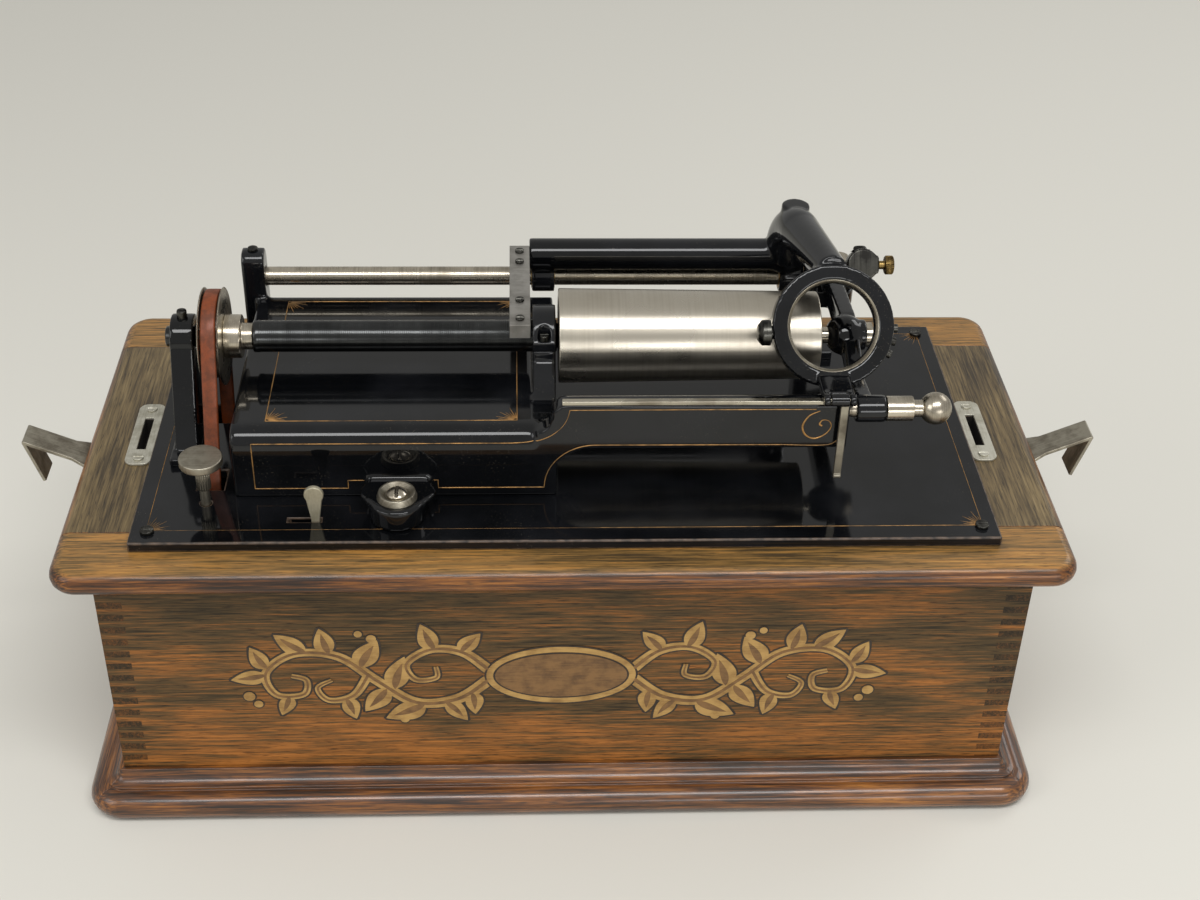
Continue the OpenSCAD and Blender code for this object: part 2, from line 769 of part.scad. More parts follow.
module body_casting() {
    lug_z = plate_z + lug_down_h;
    color("black") difference() {
        union() {
            difference() {
                pull_x(body_x0, body_x1) body_section(0);
                translate([0, 0, -over]) pull_x(body_x0 + body_wall, body_x1 - body_wall)
                    body_section(body_wall);
            }
            pull_y(body_y0, body_y0 + beam_t) beam_outline();
            block(post_x0, post_x0 + post_t, rod_y - 7, rod_y + 7, plate_z, post_top - 7);
            bar_x(post_x0, post_x0 + post_t, rod_y, post_top - 7, 7);
            pull_x(bearing_x0, bearing_x0 + bearing_t) polygon([[-34, deck_z - 1], [-bearing_r, axis_z - 5],
                [-bearing_r, axis_z], [bearing_r, axis_z], [bearing_r, axis_z - 8], [24, deck_z - 1]]);
            bar_z(lug_down_x, lug_down_y, plate_z, lug_z, lug_down_r);
            block(lug_down_x - lug_down_r, lug_down_x + lug_down_r, lug_down_y, body_y0 + body_wall,
                plate_z, lug_z);
            translate([lug_down_x, 0, lug_z - lug_ear_t]) linear_extrude(lug_ear_t)
                polygon([[-lug_down_r, body_y0 + 1], [-lug_ear, lug_down_y + lug_ear_back],
                    [-lug_ear, lug_down_y + lug_ear_front], [-lug_down_r, lug_down_y - lug_ear_taper],
                    [lug_down_r, lug_down_y - lug_ear_taper], [lug_ear, lug_down_y + lug_ear_front],
                    [lug_ear, lug_down_y + lug_ear_back], [lug_down_r, body_y0 + 1]]);
        }
        bar_x(post_x0 + 2, post_x0 + post_t + over, rod_y, rod_z, rod_d / 2);
        bar_x(bearing_x0 - over, bearing_x0 + bearing_t + over, 0, axis_z, feed_d / 2 + run_fit);
        bar_x(beam_x1 - bolt_nose - 2, beam_x1 + over, bolt_y, bolt_z, bolt_r + 1);
        bar_z(lug_down_x, lug_down_y, plate_z - over, lug_z + over, hold_pin_r);
        bar_z(post_x0 + post_t / 2, rod_y, post_top - seat_cut, post_top + over, 2.8);
    }
}

module straight_edge() {
    color("silver") block(body_x1 + edge_start, beam_x1 - 4, body_y0, body_y0 + edge_w, beam_z1, edge_z);
}

module bearing_cap() {
    color("black") difference() {
        union() {
            intersection() {
                bar_x(bearing_x0, bearing_x0 + bearing_t, 0, axis_z, bearing_r);
                block(bearing_x0, bearing_x0 + bearing_t, -bearing_r, bearing_r, axis_z, axis_z + bearing_r);
            }
            block(bearing_x0, bearing_x0 + bearing_t, -bearing_r, bearing_r, axis_z, axis_z + cap_seat_h);
        }
        for (side = [-1, 1])
            bar_z(bearing_x0 + bearing_t / 2, side * cap_screw_y, axis_z + cap_seat_h, axis_z + bearing_r, 3);
        bar_x(bearing_x0 - over, bearing_x0 + bearing_t + over, 0, axis_z, feed_d / 2 + run_fit);
    }
}

// Screws of the bearing cap, the oil hole's screw on the left post and the rod's set screw
module works_screws() {
    color("gray") {
        for (side = [-1, 1])
            screw_head(bearing_x0 + bearing_t / 2, side * cap_screw_y, axis_z + cap_seat_h, 2.2, 3);
        screw_head((left_post_x0 + left_post_x1) / 2, 0, axis_z + left_post_r - seat_cut, 2.4, 4);
        screw_head(post_x0 + post_t / 2, rod_y, post_top - seat_cut, 2.6, 1.6);
    }
}

module pulley_post() {
    color("black") difference() {
        union() {
            pull_x(left_post_x0, left_post_x1)
                polygon([[-post_front, plate_z], [-left_post_r, axis_z], [left_post_r, axis_z],
                    [post_back, plate_z]]);
            bar_x(left_post_x0, left_post_x1, 0, axis_z, left_post_r);
            block(left_post_x0 - 2, left_post_x1, -post_front - post_toe, post_back + post_toe,
                plate_z, plate_z + 4);
        }
        bar_x(left_post_x0 - over, left_post_x1 + over, 0, axis_z, journal_d / 2 + run_fit);
        translate([(left_post_x0 + left_post_x1) / 2, 0, axis_z + left_post_r])
            bar_z(0, 0, -seat_cut, over, 2.6);
    }
}

module back_rod() {
    color("silver") bar_x(post_x0 + 2, gate_post_x0 + 5, rod_y, rod_z, rod_d / 2);
}

gate_post_x0 = gate_x - gate_eye_r - 9.5;
gate_post_x1 = gate_x - gate_eye_r - 2;

// Places of the carriage's two lugs on the rod, the right one close to the gate post
lug_gap = 0.5;
lug_x = [tube_x0 + 1, gate_post_x0 - lug_gap - lug_l];

module gate_post() {
    color("black") difference() {
        union() {
            block(gate_post_x0, gate_post_x1, rod_y - 7, rod_y + 7, plate_z, rod_z + 8.5);
            block(gate_post_x0, gate_x, rod_y - 7, rod_y + 7, gate_lug_z - 10, gate_lug_z);
            bar_z(gate_x, rod_y, gate_lug_z - 10, gate_lug_z, gate_eye_r);
            block(gate_post_x0 - 6, gate_x, rod_y - 10, rod_y + 10, plate_z, plate_z + 5);
        }
        bar_x(gate_post_x0 - over, gate_post_x0 + 5, rod_y, rod_z, rod_d / 2);
        bar_z(gate_x, rod_y, gate_lug_z - 10 - over, gate_lug_z + over, gate_pin_d / 2);
    }
}

module gate_pin() {
    z = gate_lug_z + gate_eye_h + 2 * pass_gap;
    color("silver") union() {
        bar_z(gate_x, rod_y, gate_lug_z - 10, z, gate_pin_d / 2);
        bar_z(gate_x, rod_y, z, z + 2.5, gate_pin_d / 2 + 2);
    }
}

// Dished washer on the hold-down lug, and the domed screw that sits in it
module hold_down_cup() {
    color("silver") translate([lug_down_x, lug_down_y, plate_z + lug_down_h]) difference() {
        cylinder(h = cup_h, r1 = cup_r, r2 = cup_r - 1);
        translate([0, 0, cup_floor]) cylinder(h = cup_h, r1 = hold_head_r + 0.5, r2 = cup_r - 1);
        translate([0, 0, -over]) cylinder(h = cup_h + 2 * over, r = hold_pin_r);
    }
}

module hold_down_screw() {
    seat_z = plate_z + lug_down_h + cup_floor;
    slot_half = 0.6;
    color("silver") union() {
        translate([lug_down_x, lug_down_y, seat_z]) difference() {
            intersection() {
                translate([0, 0, -hold_head_r * 0.7]) sphere(r = hold_head_r * 1.4);
                cylinder(h = hold_head_r, r = hold_head_r);
            }
            block(-slot_half, slot_half, -hold_head_r - over, hold_head_r + over, 2, hold_head_r);
        }
        bar_z(lug_down_x, lug_down_y, plate_z, seat_z + 1, hold_pin_r);
    }
}

// Leather belt round both pulleys
module belt_outline(extra) {
    hull() {
        translate([0, axis_z]) circle(r = pulley_r + pass_gap + extra, $fn = 72);
        translate([drive_y, drive_z]) circle(r = lower_pulley_r + pass_gap + extra, $fn = 72);
    }
}

module drive_belt() {
    color("sienna") pull_x(belt_x - belt_w / 2, belt_x + belt_w / 2) difference() {
        belt_outline(belt_t);
        belt_outline(0);
    }
}

// Tapered mandrel, hollowed at its right end round a hub with a centre hole
mandrel_x1 = mandrel_x0 + mandrel_l;
spigot_r = 6;
spigot_l = 24;
centre_r = 4.5;
centre_slope = tan(30);

module mandrel() {
    color("silver") difference() {
        bar_x(mandrel_x0, mandrel_x1, 0, axis_z, mandrel_d0 / 2, mandrel_d1 / 2);
        difference() {
            bar_x(mandrel_x1 - 10, mandrel_x1 + over, 0, axis_z, mandrel_d1 / 2 - 3);
            bar_x(mandrel_x1 - 10 - over, mandrel_x1 - 1.5, 0, axis_z, 9);
        }
        bar_x(mandrel_x0 - over, mandrel_x0 + spigot_l, 0, axis_z, spigot_r);
        bar_x(mandrel_x1 - 1.5 - centre_r / centre_slope, mandrel_x1 - 1.5, 0, axis_z, 0, centre_r);
        bar_x(mandrel_x1 - 1.6, mandrel_x1 + over, 0, axis_z, centre_r);
    }
}

feed_x0 = pulley_x1 + collar_l + hub_l - 0.5;

// Feed screw, turned with its spindle in one piece
module feed_screw() {
    thread_x0 = feed_x0 + 3;
    thread_x1 = bearing_x0 - 3;
    count = floor((thread_x1 - thread_x0) / feed_pitch);
    r = feed_d / 2;
    groove = [for (i = [0 : count - 1], k = [0 : 2])
        [k == 1 ? r - feed_groove : r, thread_x0 + (i + (k == 0 ? 0.2 : k == 1 ? 0.5 : 0.8)) * feed_pitch]];
    color("dimgray") translate([0, 0, axis_z]) rotate([0, 90, 0]) rotate_extrude()
        polygon(concat([[0, left_post_x0 - 3], [journal_d / 2, left_post_x0 - 3], [journal_d / 2, feed_x0],
            [r, feed_x0]], groove, [[r, mandrel_x0 - 0.8], [spigot_r, mandrel_x0 - 0.8],
            [spigot_r, mandrel_x0 + spigot_l], [0, mandrel_x0 + spigot_l]]));
}

// Flanged belt pulley on a shaft along X
module belt_pulley(y, z, r, bore_r) {
    rim = (pulley_w - belt_w - 1.4) / 2;
    color("silver") translate([pulley_x0, y, z]) rotate([0, 90, 0]) rotate_extrude()
        polygon([[bore_r, 0], [bore_r + 6, 0], [bore_r + 6, rim], [r - 3, rim], [r - 3, 0], [r + flange_h, 0],
            [r + flange_h, rim], [r, rim], [r, pulley_w - rim], [r + flange_h, pulley_w - rim],
            [r + flange_h, pulley_w],
            [bore_r, pulley_w]]);
}

module upper_pulley() { belt_pulley(0, axis_z, pulley_r, journal_d / 2); }

module shaft_collar() {
    x1 = pulley_x1 + collar_l;
    color("silver") difference() {
        union() {
            bar_x(pulley_x1, x1, 0, axis_z, collar_r);
            bar_x(x1, feed_x0, 0, axis_z, hub_r);
        }
        bar_x(pulley_x1 - over, feed_x0 + over, 0, axis_z, journal_d / 2);
    }
}

// Bronze bushes that slide on the rod and let the carriage tip
module carriage_bushes() {
    color("goldenrod") for (x = lug_x) difference() {
        bar_x(x, x + lug_l, rod_y, rod_z, bush_r);
        bar_x(x - over, x + lug_l + over, rod_y, rod_z, rod_d / 2 + run_fit);
    }
}

// Places a shape in the eye's own frame: X along the spindle, Y up the ring, Z along its axis
module at_eye() {
    translate([eye_x, eye_y, eye_z]) rotate([90 - eye_tilt, 0, 0]) children();
}

// Gooseneck: a bend up from the tube and a taper forward to the eye, both in one upright plane
module gooseneck() {
    reach = norm([eye_x - neck_x, eye_top_y - tube_y]);
    run = [reach - neck_bend, eye_top_z - tube_z - neck_bend];
    translate([neck_x, tube_y, tube_z]) {
        sphere(r = neck_r);
        rotate([0, 0, atan2(eye_x - neck_x, tube_y - eye_top_y)]) {
            translate([0, -neck_bend, 0]) rotate([90, 0, 90]) rotate_extrude(angle = 90)
                translate([neck_bend, 0]) circle(r = neck_r);
            translate([0, -neck_bend, neck_bend]) sphere(r = neck_r);
            translate([0, -neck_bend, neck_bend]) rotate([90 - atan2(run[1], run[0]), 0, 0])
                cylinder(h = norm(run), r1 = neck_r, r2 = neck_tip_r);
            translate([0, -neck_stub_y, 0]) rotate([0, neck_stub_lean, 0])
                cylinder(h = neck_bend + neck_stub_up, r = neck_stub_r);
        }
    }
}

// Foot under the eye, which rides on the straight edge and carries the lift lever's pin
module carriage_foot() {
    ear = foot_w / 2 - foot_ear_w / 2;
    z0 = edge_z + pass_gap;
    block(eye_x - foot_w / 2, eye_x + foot_w / 2, foot_y0 + 1, eye_low_y + 4, z0, edge_z + 4);
    for (side = [-1, 1]) translate([eye_x + side * ear, 0, 0]) {
        bar_x(-foot_ear_w / 2, foot_ear_w / 2, lever_pin_y, lever_pin_z, 3);
        block(-foot_ear_w / 2, foot_ear_w / 2, lever_pin_y, foot_y0 + 2, z0, lever_pin_z + 1);
    }
}

module carriage_casting() {
    color("black") difference() {
        union() {
            bar_x(tube_x0, neck_x, tube_y, tube_z, tube_d / 2);
            for (x = lug_x) {
                bar_x(x, x + lug_l, rod_y, rod_z, lug_r);
                block(x, x + lug_l, tube_y - 3, rod_y + 3, rod_z, tube_z);
            }
            gooseneck();
            at_eye() cylinder(h = eye_t, r = eye_d / 2, center = true);
            carriage_foot();
        }
        for (x = lug_x)
            bar_x(x - over, x + lug_l + over, rod_y, rod_z, bush_r + run_fit);
        bar_x(lug_x[0] + lug_l, neck_x + neck_r + over, rod_y, rod_z, rod_d / 2 + 1.5);
        at_eye() cylinder(h = 4 * eye_t, r = eye_bore_d / 2, center = true);
        at_eye() translate([0, 0, -eye_t / 2 - eye_relief_l])
            cylinder(h = eye_relief_l, r = eye_bore_d / 2 + eye_relief);
        at_eye() translate([0, 0, eye_t / 2 - eye_bevel])
            cylinder(h = eye_bevel + 0.01, r1 = eye_bore_d / 2, r2 = eye_bore_d / 2 + eye_bevel);
        bar_x(eye_x - foot_w, eye_x + foot_w, lever_pin_y, lever_pin_z, lever_pin_r);
        eye_knob_stem();
        eye_rim_screws();
    }
}

// Flat spring bar over a foot on the tube's end, reaching past the feed screw to a lip turned down
bar_back_y = tube_y - 3;
bar_back_z = tube_z + tube_d / 2 - 3;
bar_front_y = -9;
bar_foot = 7;
bar_lip = 6;
bar_slope = atan2(bar_back_z - nut_top_z, bar_back_y - bar_front_y);
bar_l = norm([bar_back_y - bar_front_y, bar_back_z - nut_top_z]);

module along_bar() {
    translate([nut_x, bar_front_y, nut_top_z]) rotate([bar_slope, 0, 0]) children();
}

// A point of the side view in the bar's own frame: along it and square to it
function in_bar(y, z) = [(y - bar_front_y) * cos(bar_slope) + (z - nut_top_z) * sin(bar_slope),
    (z - nut_top_z) * cos(bar_slope) - (y - bar_front_y) * sin(bar_slope)];

module feed_nut_bar() {
    sole = tube_z - bar_foot;
    foot_front = in_bar(tube_y - bar_foot, sole);
    rise = foot_front[0] + foot_front[1] * tan(bar_slope);
    color("gray") along_bar() pull_x(0, nut_bar_w) polygon([[0, -bar_lip], [0, 0], [rise, 0],
        foot_front, in_bar(bar_back_y, sole), [bar_l, 0], [bar_l, nut_bar_t], [-nut_bar_t, nut_bar_t],
        [-nut_bar_t, -bar_lip]]);
}

module feed_nut() {
    color("darkgoldenrod") difference() {
        block(nut_x + 1, nut_x + nut_bar_w - 1, -5.5, 6, axis_z + 3, nut_top_z + 4);
        bar_x(nut_x - over, nut_x + nut_bar_w + over, 0, axis_z, feed_d / 2 + pass_gap);
        along_bar() translate([-over, -10, 0]) cube([nut_bar_w + 2 * over, bar_l, 30]);
    }
}

// Stem of the eye's clamp knob, and the small screws on the ring's right edge
module eye_knob_stem() {
    at_eye() translate([0, -3, 0]) rotate([0, -90, 0]) translate([0, 0, eye_d / 2 - 1])
        cylinder(h = 5, r = 3);
}

module eye_rim_screws() {
    for (a = [-2, -14, -26]) at_eye() rotate([0, 0, a]) rotate([0, 90, 0])
        translate([0, 0, eye_d / 2 - 1]) cylinder(h = 3.2, r = 2);
}

// Screws of the bar, the knob that clamps the eye and the small screws on its rim
module carriage_screws() {
    color("silver") {
        for (at = [4, 20, bar_l - 16, bar_l - 6]) along_bar()
            screw_head(nut_bar_w / 2, at, nut_bar_t, 2.2, 1.2);
        eye_knob_stem();
        at_eye() translate([0, -3, 0]) rotate([0, -90, 0]) translate([0, 0, eye_d / 2 + knob_out]) {
            cylinder(h = knob_l, r = knob_r);
            translate([0, 0, knob_l]) cylinder(h = knob_l / 2, r1 = knob_r, r2 = knob_r * 0.6);
        }
        eye_rim_screws();
    }
}

shaver_a = 8;
shaver_w = 15;
shaver_t = 9;
shaver_low = 21;
shaver_up = 29;

// Rounded block of the shaver behind the ring, with a cap on top and a thumbscrew at its right
module shaver_block() {
    mid = shaver_a + shaver_w / 2;
    color("silver") at_eye() translate([0, 0, -eye_t / 2 - shaver_t]) union() {
        translate([shaver_a, shaver_low, 0]) cube([10, 8, shaver_t]);
        translate([mid, shaver_up, 0]) cylinder(h = shaver_t, r = shaver_w / 2);
        translate([mid, shaver_up - 4, 0]) cube([shaver_w / 2, 8, shaver_t]);
        translate([mid - 1, shaver_up + shaver_w / 2 - 1, shaver_t / 2]) rotate([-90, 0, 0])
            cylinder(h = 2.5, r = 3);
    }
}

module shaver_thumbscrew() {
    x0 = shaver_a + shaver_w + pass_gap;
    color("goldenrod") at_eye() translate([x0, shaver_up, -(eye_t + shaver_t) / 2])
        rotate([0, 90, 0]) union() {
            cylinder(h = 3, r = 2);
            translate([0, 0, 3]) cylinder(h = 4, r = 4.2);
        }
}

module lift_lever() {
    half = foot_w / 2 - foot_ear_w - pass_gap;
    color("silver") difference() {
        union() {
            bar_x(eye_x - half, eye_x + half, lever_pin_y, lever_pin_z, 2.8);
            translate([eye_x, lever_pin_y, lever_pin_z]) {
                block(half - lever_blade_w, half, -1, 1, -lever_l, 0);
                bar_x(half - lever_blade_w, half, 0, -lever_l, 1.6);
            }
        }
        bar_x(eye_x - foot_w, eye_x + foot_w, lever_pin_y, lever_pin_z, lever_pin_r + run_fit);
    }
}

module lift_lever_pin() {
    color("gray") bar_x(eye_x - foot_w / 2, eye_x + foot_w / 2, lever_pin_y, lever_pin_z, lever_pin_r);
}

// Gate arm seen from the end: from its hinge eye over the centre boss to the bolt boss
module gate_outline() {
    eye_mid = gate_lug_z + gate_eye_h / 2;
    polygon([[rod_y - 2, eye_mid + 6], [9, axis_z + 7], [-8, axis_z + 4], [-30, bolt_z],
        [bolt_y, bolt_z + 4], [bolt_y, bolt_z - 6], [-30, bolt_z - 8], [-8, axis_z - 8],
        [9, axis_z - 8], [rod_y - 2, eye_mid - 6]]);
}

module end_gate() {
    arm_x0 = gate_x - gate_eye_r;
    z0 = gate_lug_z + pass_gap;
    color("black") difference() {
        union() {
            pull_x(arm_x0, arm_x0 + gate_arm_t) gate_outline();
            bar_z(gate_x, rod_y, z0, z0 + gate_eye_h, gate_eye_r);
            bar_x(gate_boss_x, gate_boss_x + gate_boss_l, 0, axis_z, gate_boss_r);
            translate([gate_boss_x + gate_boss_l - gate_dome_r, 0, axis_z]) sphere(r = gate_dome_r);
            bar_x(bolt_boss_x, bolt_boss_x + bolt_boss_l, bolt_y, bolt_z, bolt_boss_r);
        }
        bar_z(gate_x, rod_y, z0 - over, z0 + gate_eye_h + over, gate_pin_d / 2 + run_fit);
        bar_x(gate_boss_x - gate_dome_r, gate_boss_x + gate_boss_l + over, 0, axis_z, centre_pin_r);
        bar_x(bolt_boss_x - over, bolt_boss_x + bolt_boss_l + over, bolt_y, bolt_z, bolt_r + run_fit);
    }
}

module centre_pin() {
    x0 = mandrel_x1 - 1.5 + pass_gap / sin(30);
    color("silver") union() {
        bar_x(x0, gate_boss_x + gate_boss_l + 3, 0, axis_z, centre_pin_r);
        bar_x(x0 - centre_pin_r / centre_slope, x0, 0, axis_z, 0, centre_pin_r);
        bar_x(gate_boss_x + gate_boss_l, gate_boss_x + gate_boss_l + 3, 0, axis_z, centre_pin_r + 2);
    }
}

module gate_bolt() {
    x1 = bolt_boss_x + bolt_boss_l + pass_gap;
    ball_x = x1 + 12.5 + 3.2 + ball_d / 2;
    color("silver") union() {
        bar_x(beam_x1 - bolt_nose, beam_x1 + 2, bolt_y, bolt_z, 2.5, bolt_r);
        bar_x(beam_x1 + 2, x1 + 1, bolt_y, bolt_z, bolt_r);
        bar_x(x1, x1 + 12.5, bolt_y, bolt_z, barrel_d / 2);
        bar_x(x1 + 12, ball_x, bolt_y, bolt_z, 4);
        translate([ball_x, bolt_y, bolt_z]) sphere(r = ball_d / 2);
    }
}

// Teardrop thumb piece on a stem that slides in its slot
module start_lever() {
    r = start_w / 2;
    head_z = plate_z + start_h - r;
    color("silver") union() {
        translate([start_x, start_y + start_plate_t / 2, head_z]) rotate([90, 0, 0])
            cylinder(h = start_plate_t, r = r);
        translate([start_x, 0, 0]) pull_y(start_y - start_plate_t / 2, start_y + start_plate_t / 2)
            polygon([[-r * 0.9, head_z], [r * 0.9, head_z], [start_stem / 2, plate_z + 1],
                [start_stem / 2, top_z - 4], [-start_stem / 2, top_z - 4], [-start_stem / 2, plate_z + 1]]);
    }
}

module speed_screw() {
    z1 = plate_z + speed_h;
    color("silver") union() {
        bar_z(speed_x, speed_y, z1 - 4, z1, speed_head_d / 2);
        bar_z(speed_x, speed_y, plate_z + 9, z1 - 3, speed_grip_r);
        bar_z(speed_x, speed_y, top_z - 8, plate_z + 10, speed_r);
    }
}

// Involute gear outline about the origin, with a tooth at the given angle
function roll(a) = tan(a) * 180 / PI - a;
module gear_outline(teeth, mod, first) {
    r = mod * teeth / 2;
    base = r * cos(20);
    root = r - 1.25 * mod;
    tip = r + mod;
    half = 90 / teeth - backlash / (2 * r) * 180 / PI / 2;
    function flank(q) = half + roll(20) - (q > base ? roll(acos(base / q)) : 0);
    levels = [root, max(base, root + 0.01), r, tip];
    polygon([for (i = [0 : teeth - 1], k = [0 : 7])
        let(q = levels[k < 4 ? k : 7 - k], a = first + i * 360 / teeth + (k < 4 ? -1 : 1) * flank(q))
        [q * cos(a), q * sin(a)]]);
}

// A gear on a shaft along X
module gear_x(x0, x1, y, z, teeth, mod, first) {
    translate([0, y, z]) pull_x(x0, x1) gear_outline(teeth, mod, first);
}

// Angle of the line from one shaft to another, seen along X
function bearing_to(a, b) = atan2(b[1] - a[1], b[0] - a[0]);
barrel_at = [barrel_y, barrel_z];
second_at = [second_y, second_z];
drive_at = [drive_y, drive_z];
gov_at = [gov_y, gov_z];
gap_turn = 180 + 180 / pinion_teeth;

// The two plates that hang under the bedplate and carry every motor shaft
module motor_plates() {
    shafts = [[barrel_at, arbor_r], [second_at, arbor_r], [drive_at, arbor_r], [gov_at, arbor_r - 1]];
    color("dimgray") for (x = [motor_x0, motor_x1 - motor_plate_t]) difference() {
        block(x, x + motor_plate_t, motor_y0, motor_y1, motor_z0, top_z);
        for (s = shafts)
            bar_x(x - over, x + motor_plate_t + over, s[0][0], s[0][1], s[1] + run_fit);
    }
}

module motor_pillars() {
    low = motor_z0 + motor_pillar_in;
    high = top_z - motor_pillar_in;
    front = motor_y0 + motor_pillar_in;
    back = motor_y1 - motor_pillar_in;
    color("gray") for (at = [[back, low], [front, high], [back, high]])
        bar_x(motor_x0 + motor_plate_t, motor_x1 - motor_plate_t, at[0], at[1], motor_pillar_r);
}

// Spring barrel with its great wheel; the mainspring is closed inside
module spring_barrel() {
    x0 = great_x + great_w;
    color("goldenrod") difference() {
        union() {
            gear_x(great_x, x0, barrel_y, barrel_z, great_teeth, great_module,
                bearing_to(barrel_at, second_at));
            bar_x(x0, drum_x1, barrel_y, barrel_z, drum_r);
            bar_x(great_x - 8, great_x, barrel_y, barrel_z, 10);
        }
        bar_x(great_x - 9, drum_x1 + over, barrel_y, barrel_z, arbor_r + run_fit);
    }
}

// Arbor that winds the spring, with its ratchet and the socket for a crank
module winding_arbor() {
    socket_x = case_x - board_t - socket_gap;
    ratchet_x = motor_x1 + 3;
    color("gray") difference() {
        union() {
            bar_x(motor_x0, motor_x1 + 2, barrel_y, barrel_z, arbor_r);
            bar_x(motor_x1 + 1, socket_x, barrel_y, barrel_z, socket_d / 2 + 3);
            pull_x(ratchet_x, ratchet_x + 5) polygon([for (i = [0 : 15], k = [0, 1])
                let(a = (i + 0.9 * k) * 22.5, q = k == 0 ? 17 : 21)
                [barrel_y + q * cos(a), barrel_z + q * sin(a)]]);
        }
        bar_x(socket_x - socket_l, socket_x + over, barrel_y, barrel_z, socket_d / 2);
    }
}

module second_arbor() {
    color("goldenrod") union() {
        bar_x(motor_x0, motor_x1, second_y, second_z, arbor_r);
        gear_x(second_x, second_x + wheel_w, second_y, second_z, second_teeth, fine_module,
            bearing_to(second_at, drive_at));
        gear_x(great_x - face_extra, great_x + great_w + face_extra, second_y, second_z,
            pinion_teeth, great_module, bearing_to(barrel_at, second_at) + gap_turn);
    }
}

// Drive shaft, which carries the lower pulley at its left end
module drive_shaft() {
    color("goldenrod") union() {
        bar_x(pulley_x0 - 2, motor_x1, drive_y, drive_z, arbor_r);
        belt_pulley(drive_y, drive_z, lower_pulley_r, arbor_r - 0.5);
        gear_x(second_x - face_extra, second_x + wheel_w + face_extra, drive_y, drive_z,
            pinion_teeth, fine_module, bearing_to(second_at, drive_at) + gap_turn);
        gear_x(gov_wheel_x, gov_wheel_x + wheel_w, drive_y, drive_z, gov_wheel_teeth, fine_module,
            bearing_to(drive_at, gov_at));
    }
}

// Governor: pinion, two collars, three flat springs with weights and the friction disc
module governor() {
    weights_x = -84;
    half = 22;
    color("goldenrod") union() {
        bar_x(motor_x0, motor_x1, gov_y, gov_z, arbor_r - 1);
        gear_x(gov_wheel_x - face_extra, gov_wheel_x + wheel_w + face_extra, gov_y, gov_z,
            pinion_teeth, fine_module, bearing_to(drive_at, gov_at) + gap_turn);
        for (x = [weights_x - half, weights_x + half - 6])
            bar_x(x, x + 6, gov_y, gov_z, 7);
        bar_x(weights_x + half, weights_x + half + 3, gov_y, gov_z, 13);
        for (a = [90, 210, 330]) translate([weights_x, gov_y, gov_z]) rotate([a, 0, 0]) {
            translate([-half, -3, 6]) cube([2 * half, 6, 1]);
            translate([-6, 0, 9]) rotate([0, 90, 0]) cylinder(h = 12, r = 4);
        }
    }
}

front_board();
back_board();
left_board();
right_board();
bottom_board();
front_moulding();
back_moulding();
side_mouldings();
case_hinge_leaves();
hinge_pins();
winding_escutcheon();
latch_brackets();
latch_pins();
front_rail();
back_rail();
side_rails();
top_hinge_leaves();
slot_plates();
slot_plate_screws();
bedplate();
bedplate_screws();
body_casting();
straight_edge();
bearing_cap();
works_screws();
pulley_post();
back_rod();
gate_post();
gate_pin();
hold_down_cup();
hold_down_screw();
motor_plates();
motor_pillars();
drive_belt();
mandrel();
feed_screw();
upper_pulley();
shaft_collar();
carriage_bushes();
carriage_casting();
feed_nut_bar();
feed_nut();
carriage_screws();
shaver_block();
shaver_thumbscrew();
lift_lever();
lift_lever_pin();
end_gate();
centre_pin();
gate_bolt();
start_lever();
speed_screw();
left_latch();
right_latch();
spring_barrel();
winding_arbor();
second_arbor();
drive_shaft();
governor();
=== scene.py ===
import json
import math

import bmesh
import bpy
from mathutils import Matrix, Vector


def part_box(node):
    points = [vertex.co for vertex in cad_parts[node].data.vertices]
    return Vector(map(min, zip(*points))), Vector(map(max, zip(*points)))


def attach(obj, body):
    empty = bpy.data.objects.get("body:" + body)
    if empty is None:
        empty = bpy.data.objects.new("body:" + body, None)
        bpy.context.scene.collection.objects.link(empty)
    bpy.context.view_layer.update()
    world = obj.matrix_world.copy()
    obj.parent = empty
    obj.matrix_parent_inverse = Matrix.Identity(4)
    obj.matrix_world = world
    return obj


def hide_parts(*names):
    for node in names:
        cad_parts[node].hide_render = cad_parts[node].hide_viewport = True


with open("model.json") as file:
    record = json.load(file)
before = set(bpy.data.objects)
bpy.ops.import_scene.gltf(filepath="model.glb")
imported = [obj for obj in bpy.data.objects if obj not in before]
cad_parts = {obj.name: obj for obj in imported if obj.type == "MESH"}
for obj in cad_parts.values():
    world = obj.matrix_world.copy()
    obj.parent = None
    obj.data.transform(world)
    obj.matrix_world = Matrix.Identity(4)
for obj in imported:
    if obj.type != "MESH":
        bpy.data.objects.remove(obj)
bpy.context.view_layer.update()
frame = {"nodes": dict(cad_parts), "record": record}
mm = 0.001
bodies = frame["record"]["behaviour"]["bodies"]
bodyOf = {node: body for body, nodes in bodies.items() for node in nodes}
print("frame loaded,", len(frame["nodes"]), "nodes")


# Camera at the photograph's viewpoint
cameraSetup = {
    "place": (-23.08, -737.86, 667.47),  # mm
    "yaw": 0.0559, "pitch": 0.6170, "roll": 0.0274,  # radians
    "focalPixels": 1790.06, "framePixels": 1200, "sensor": 36.0,
}


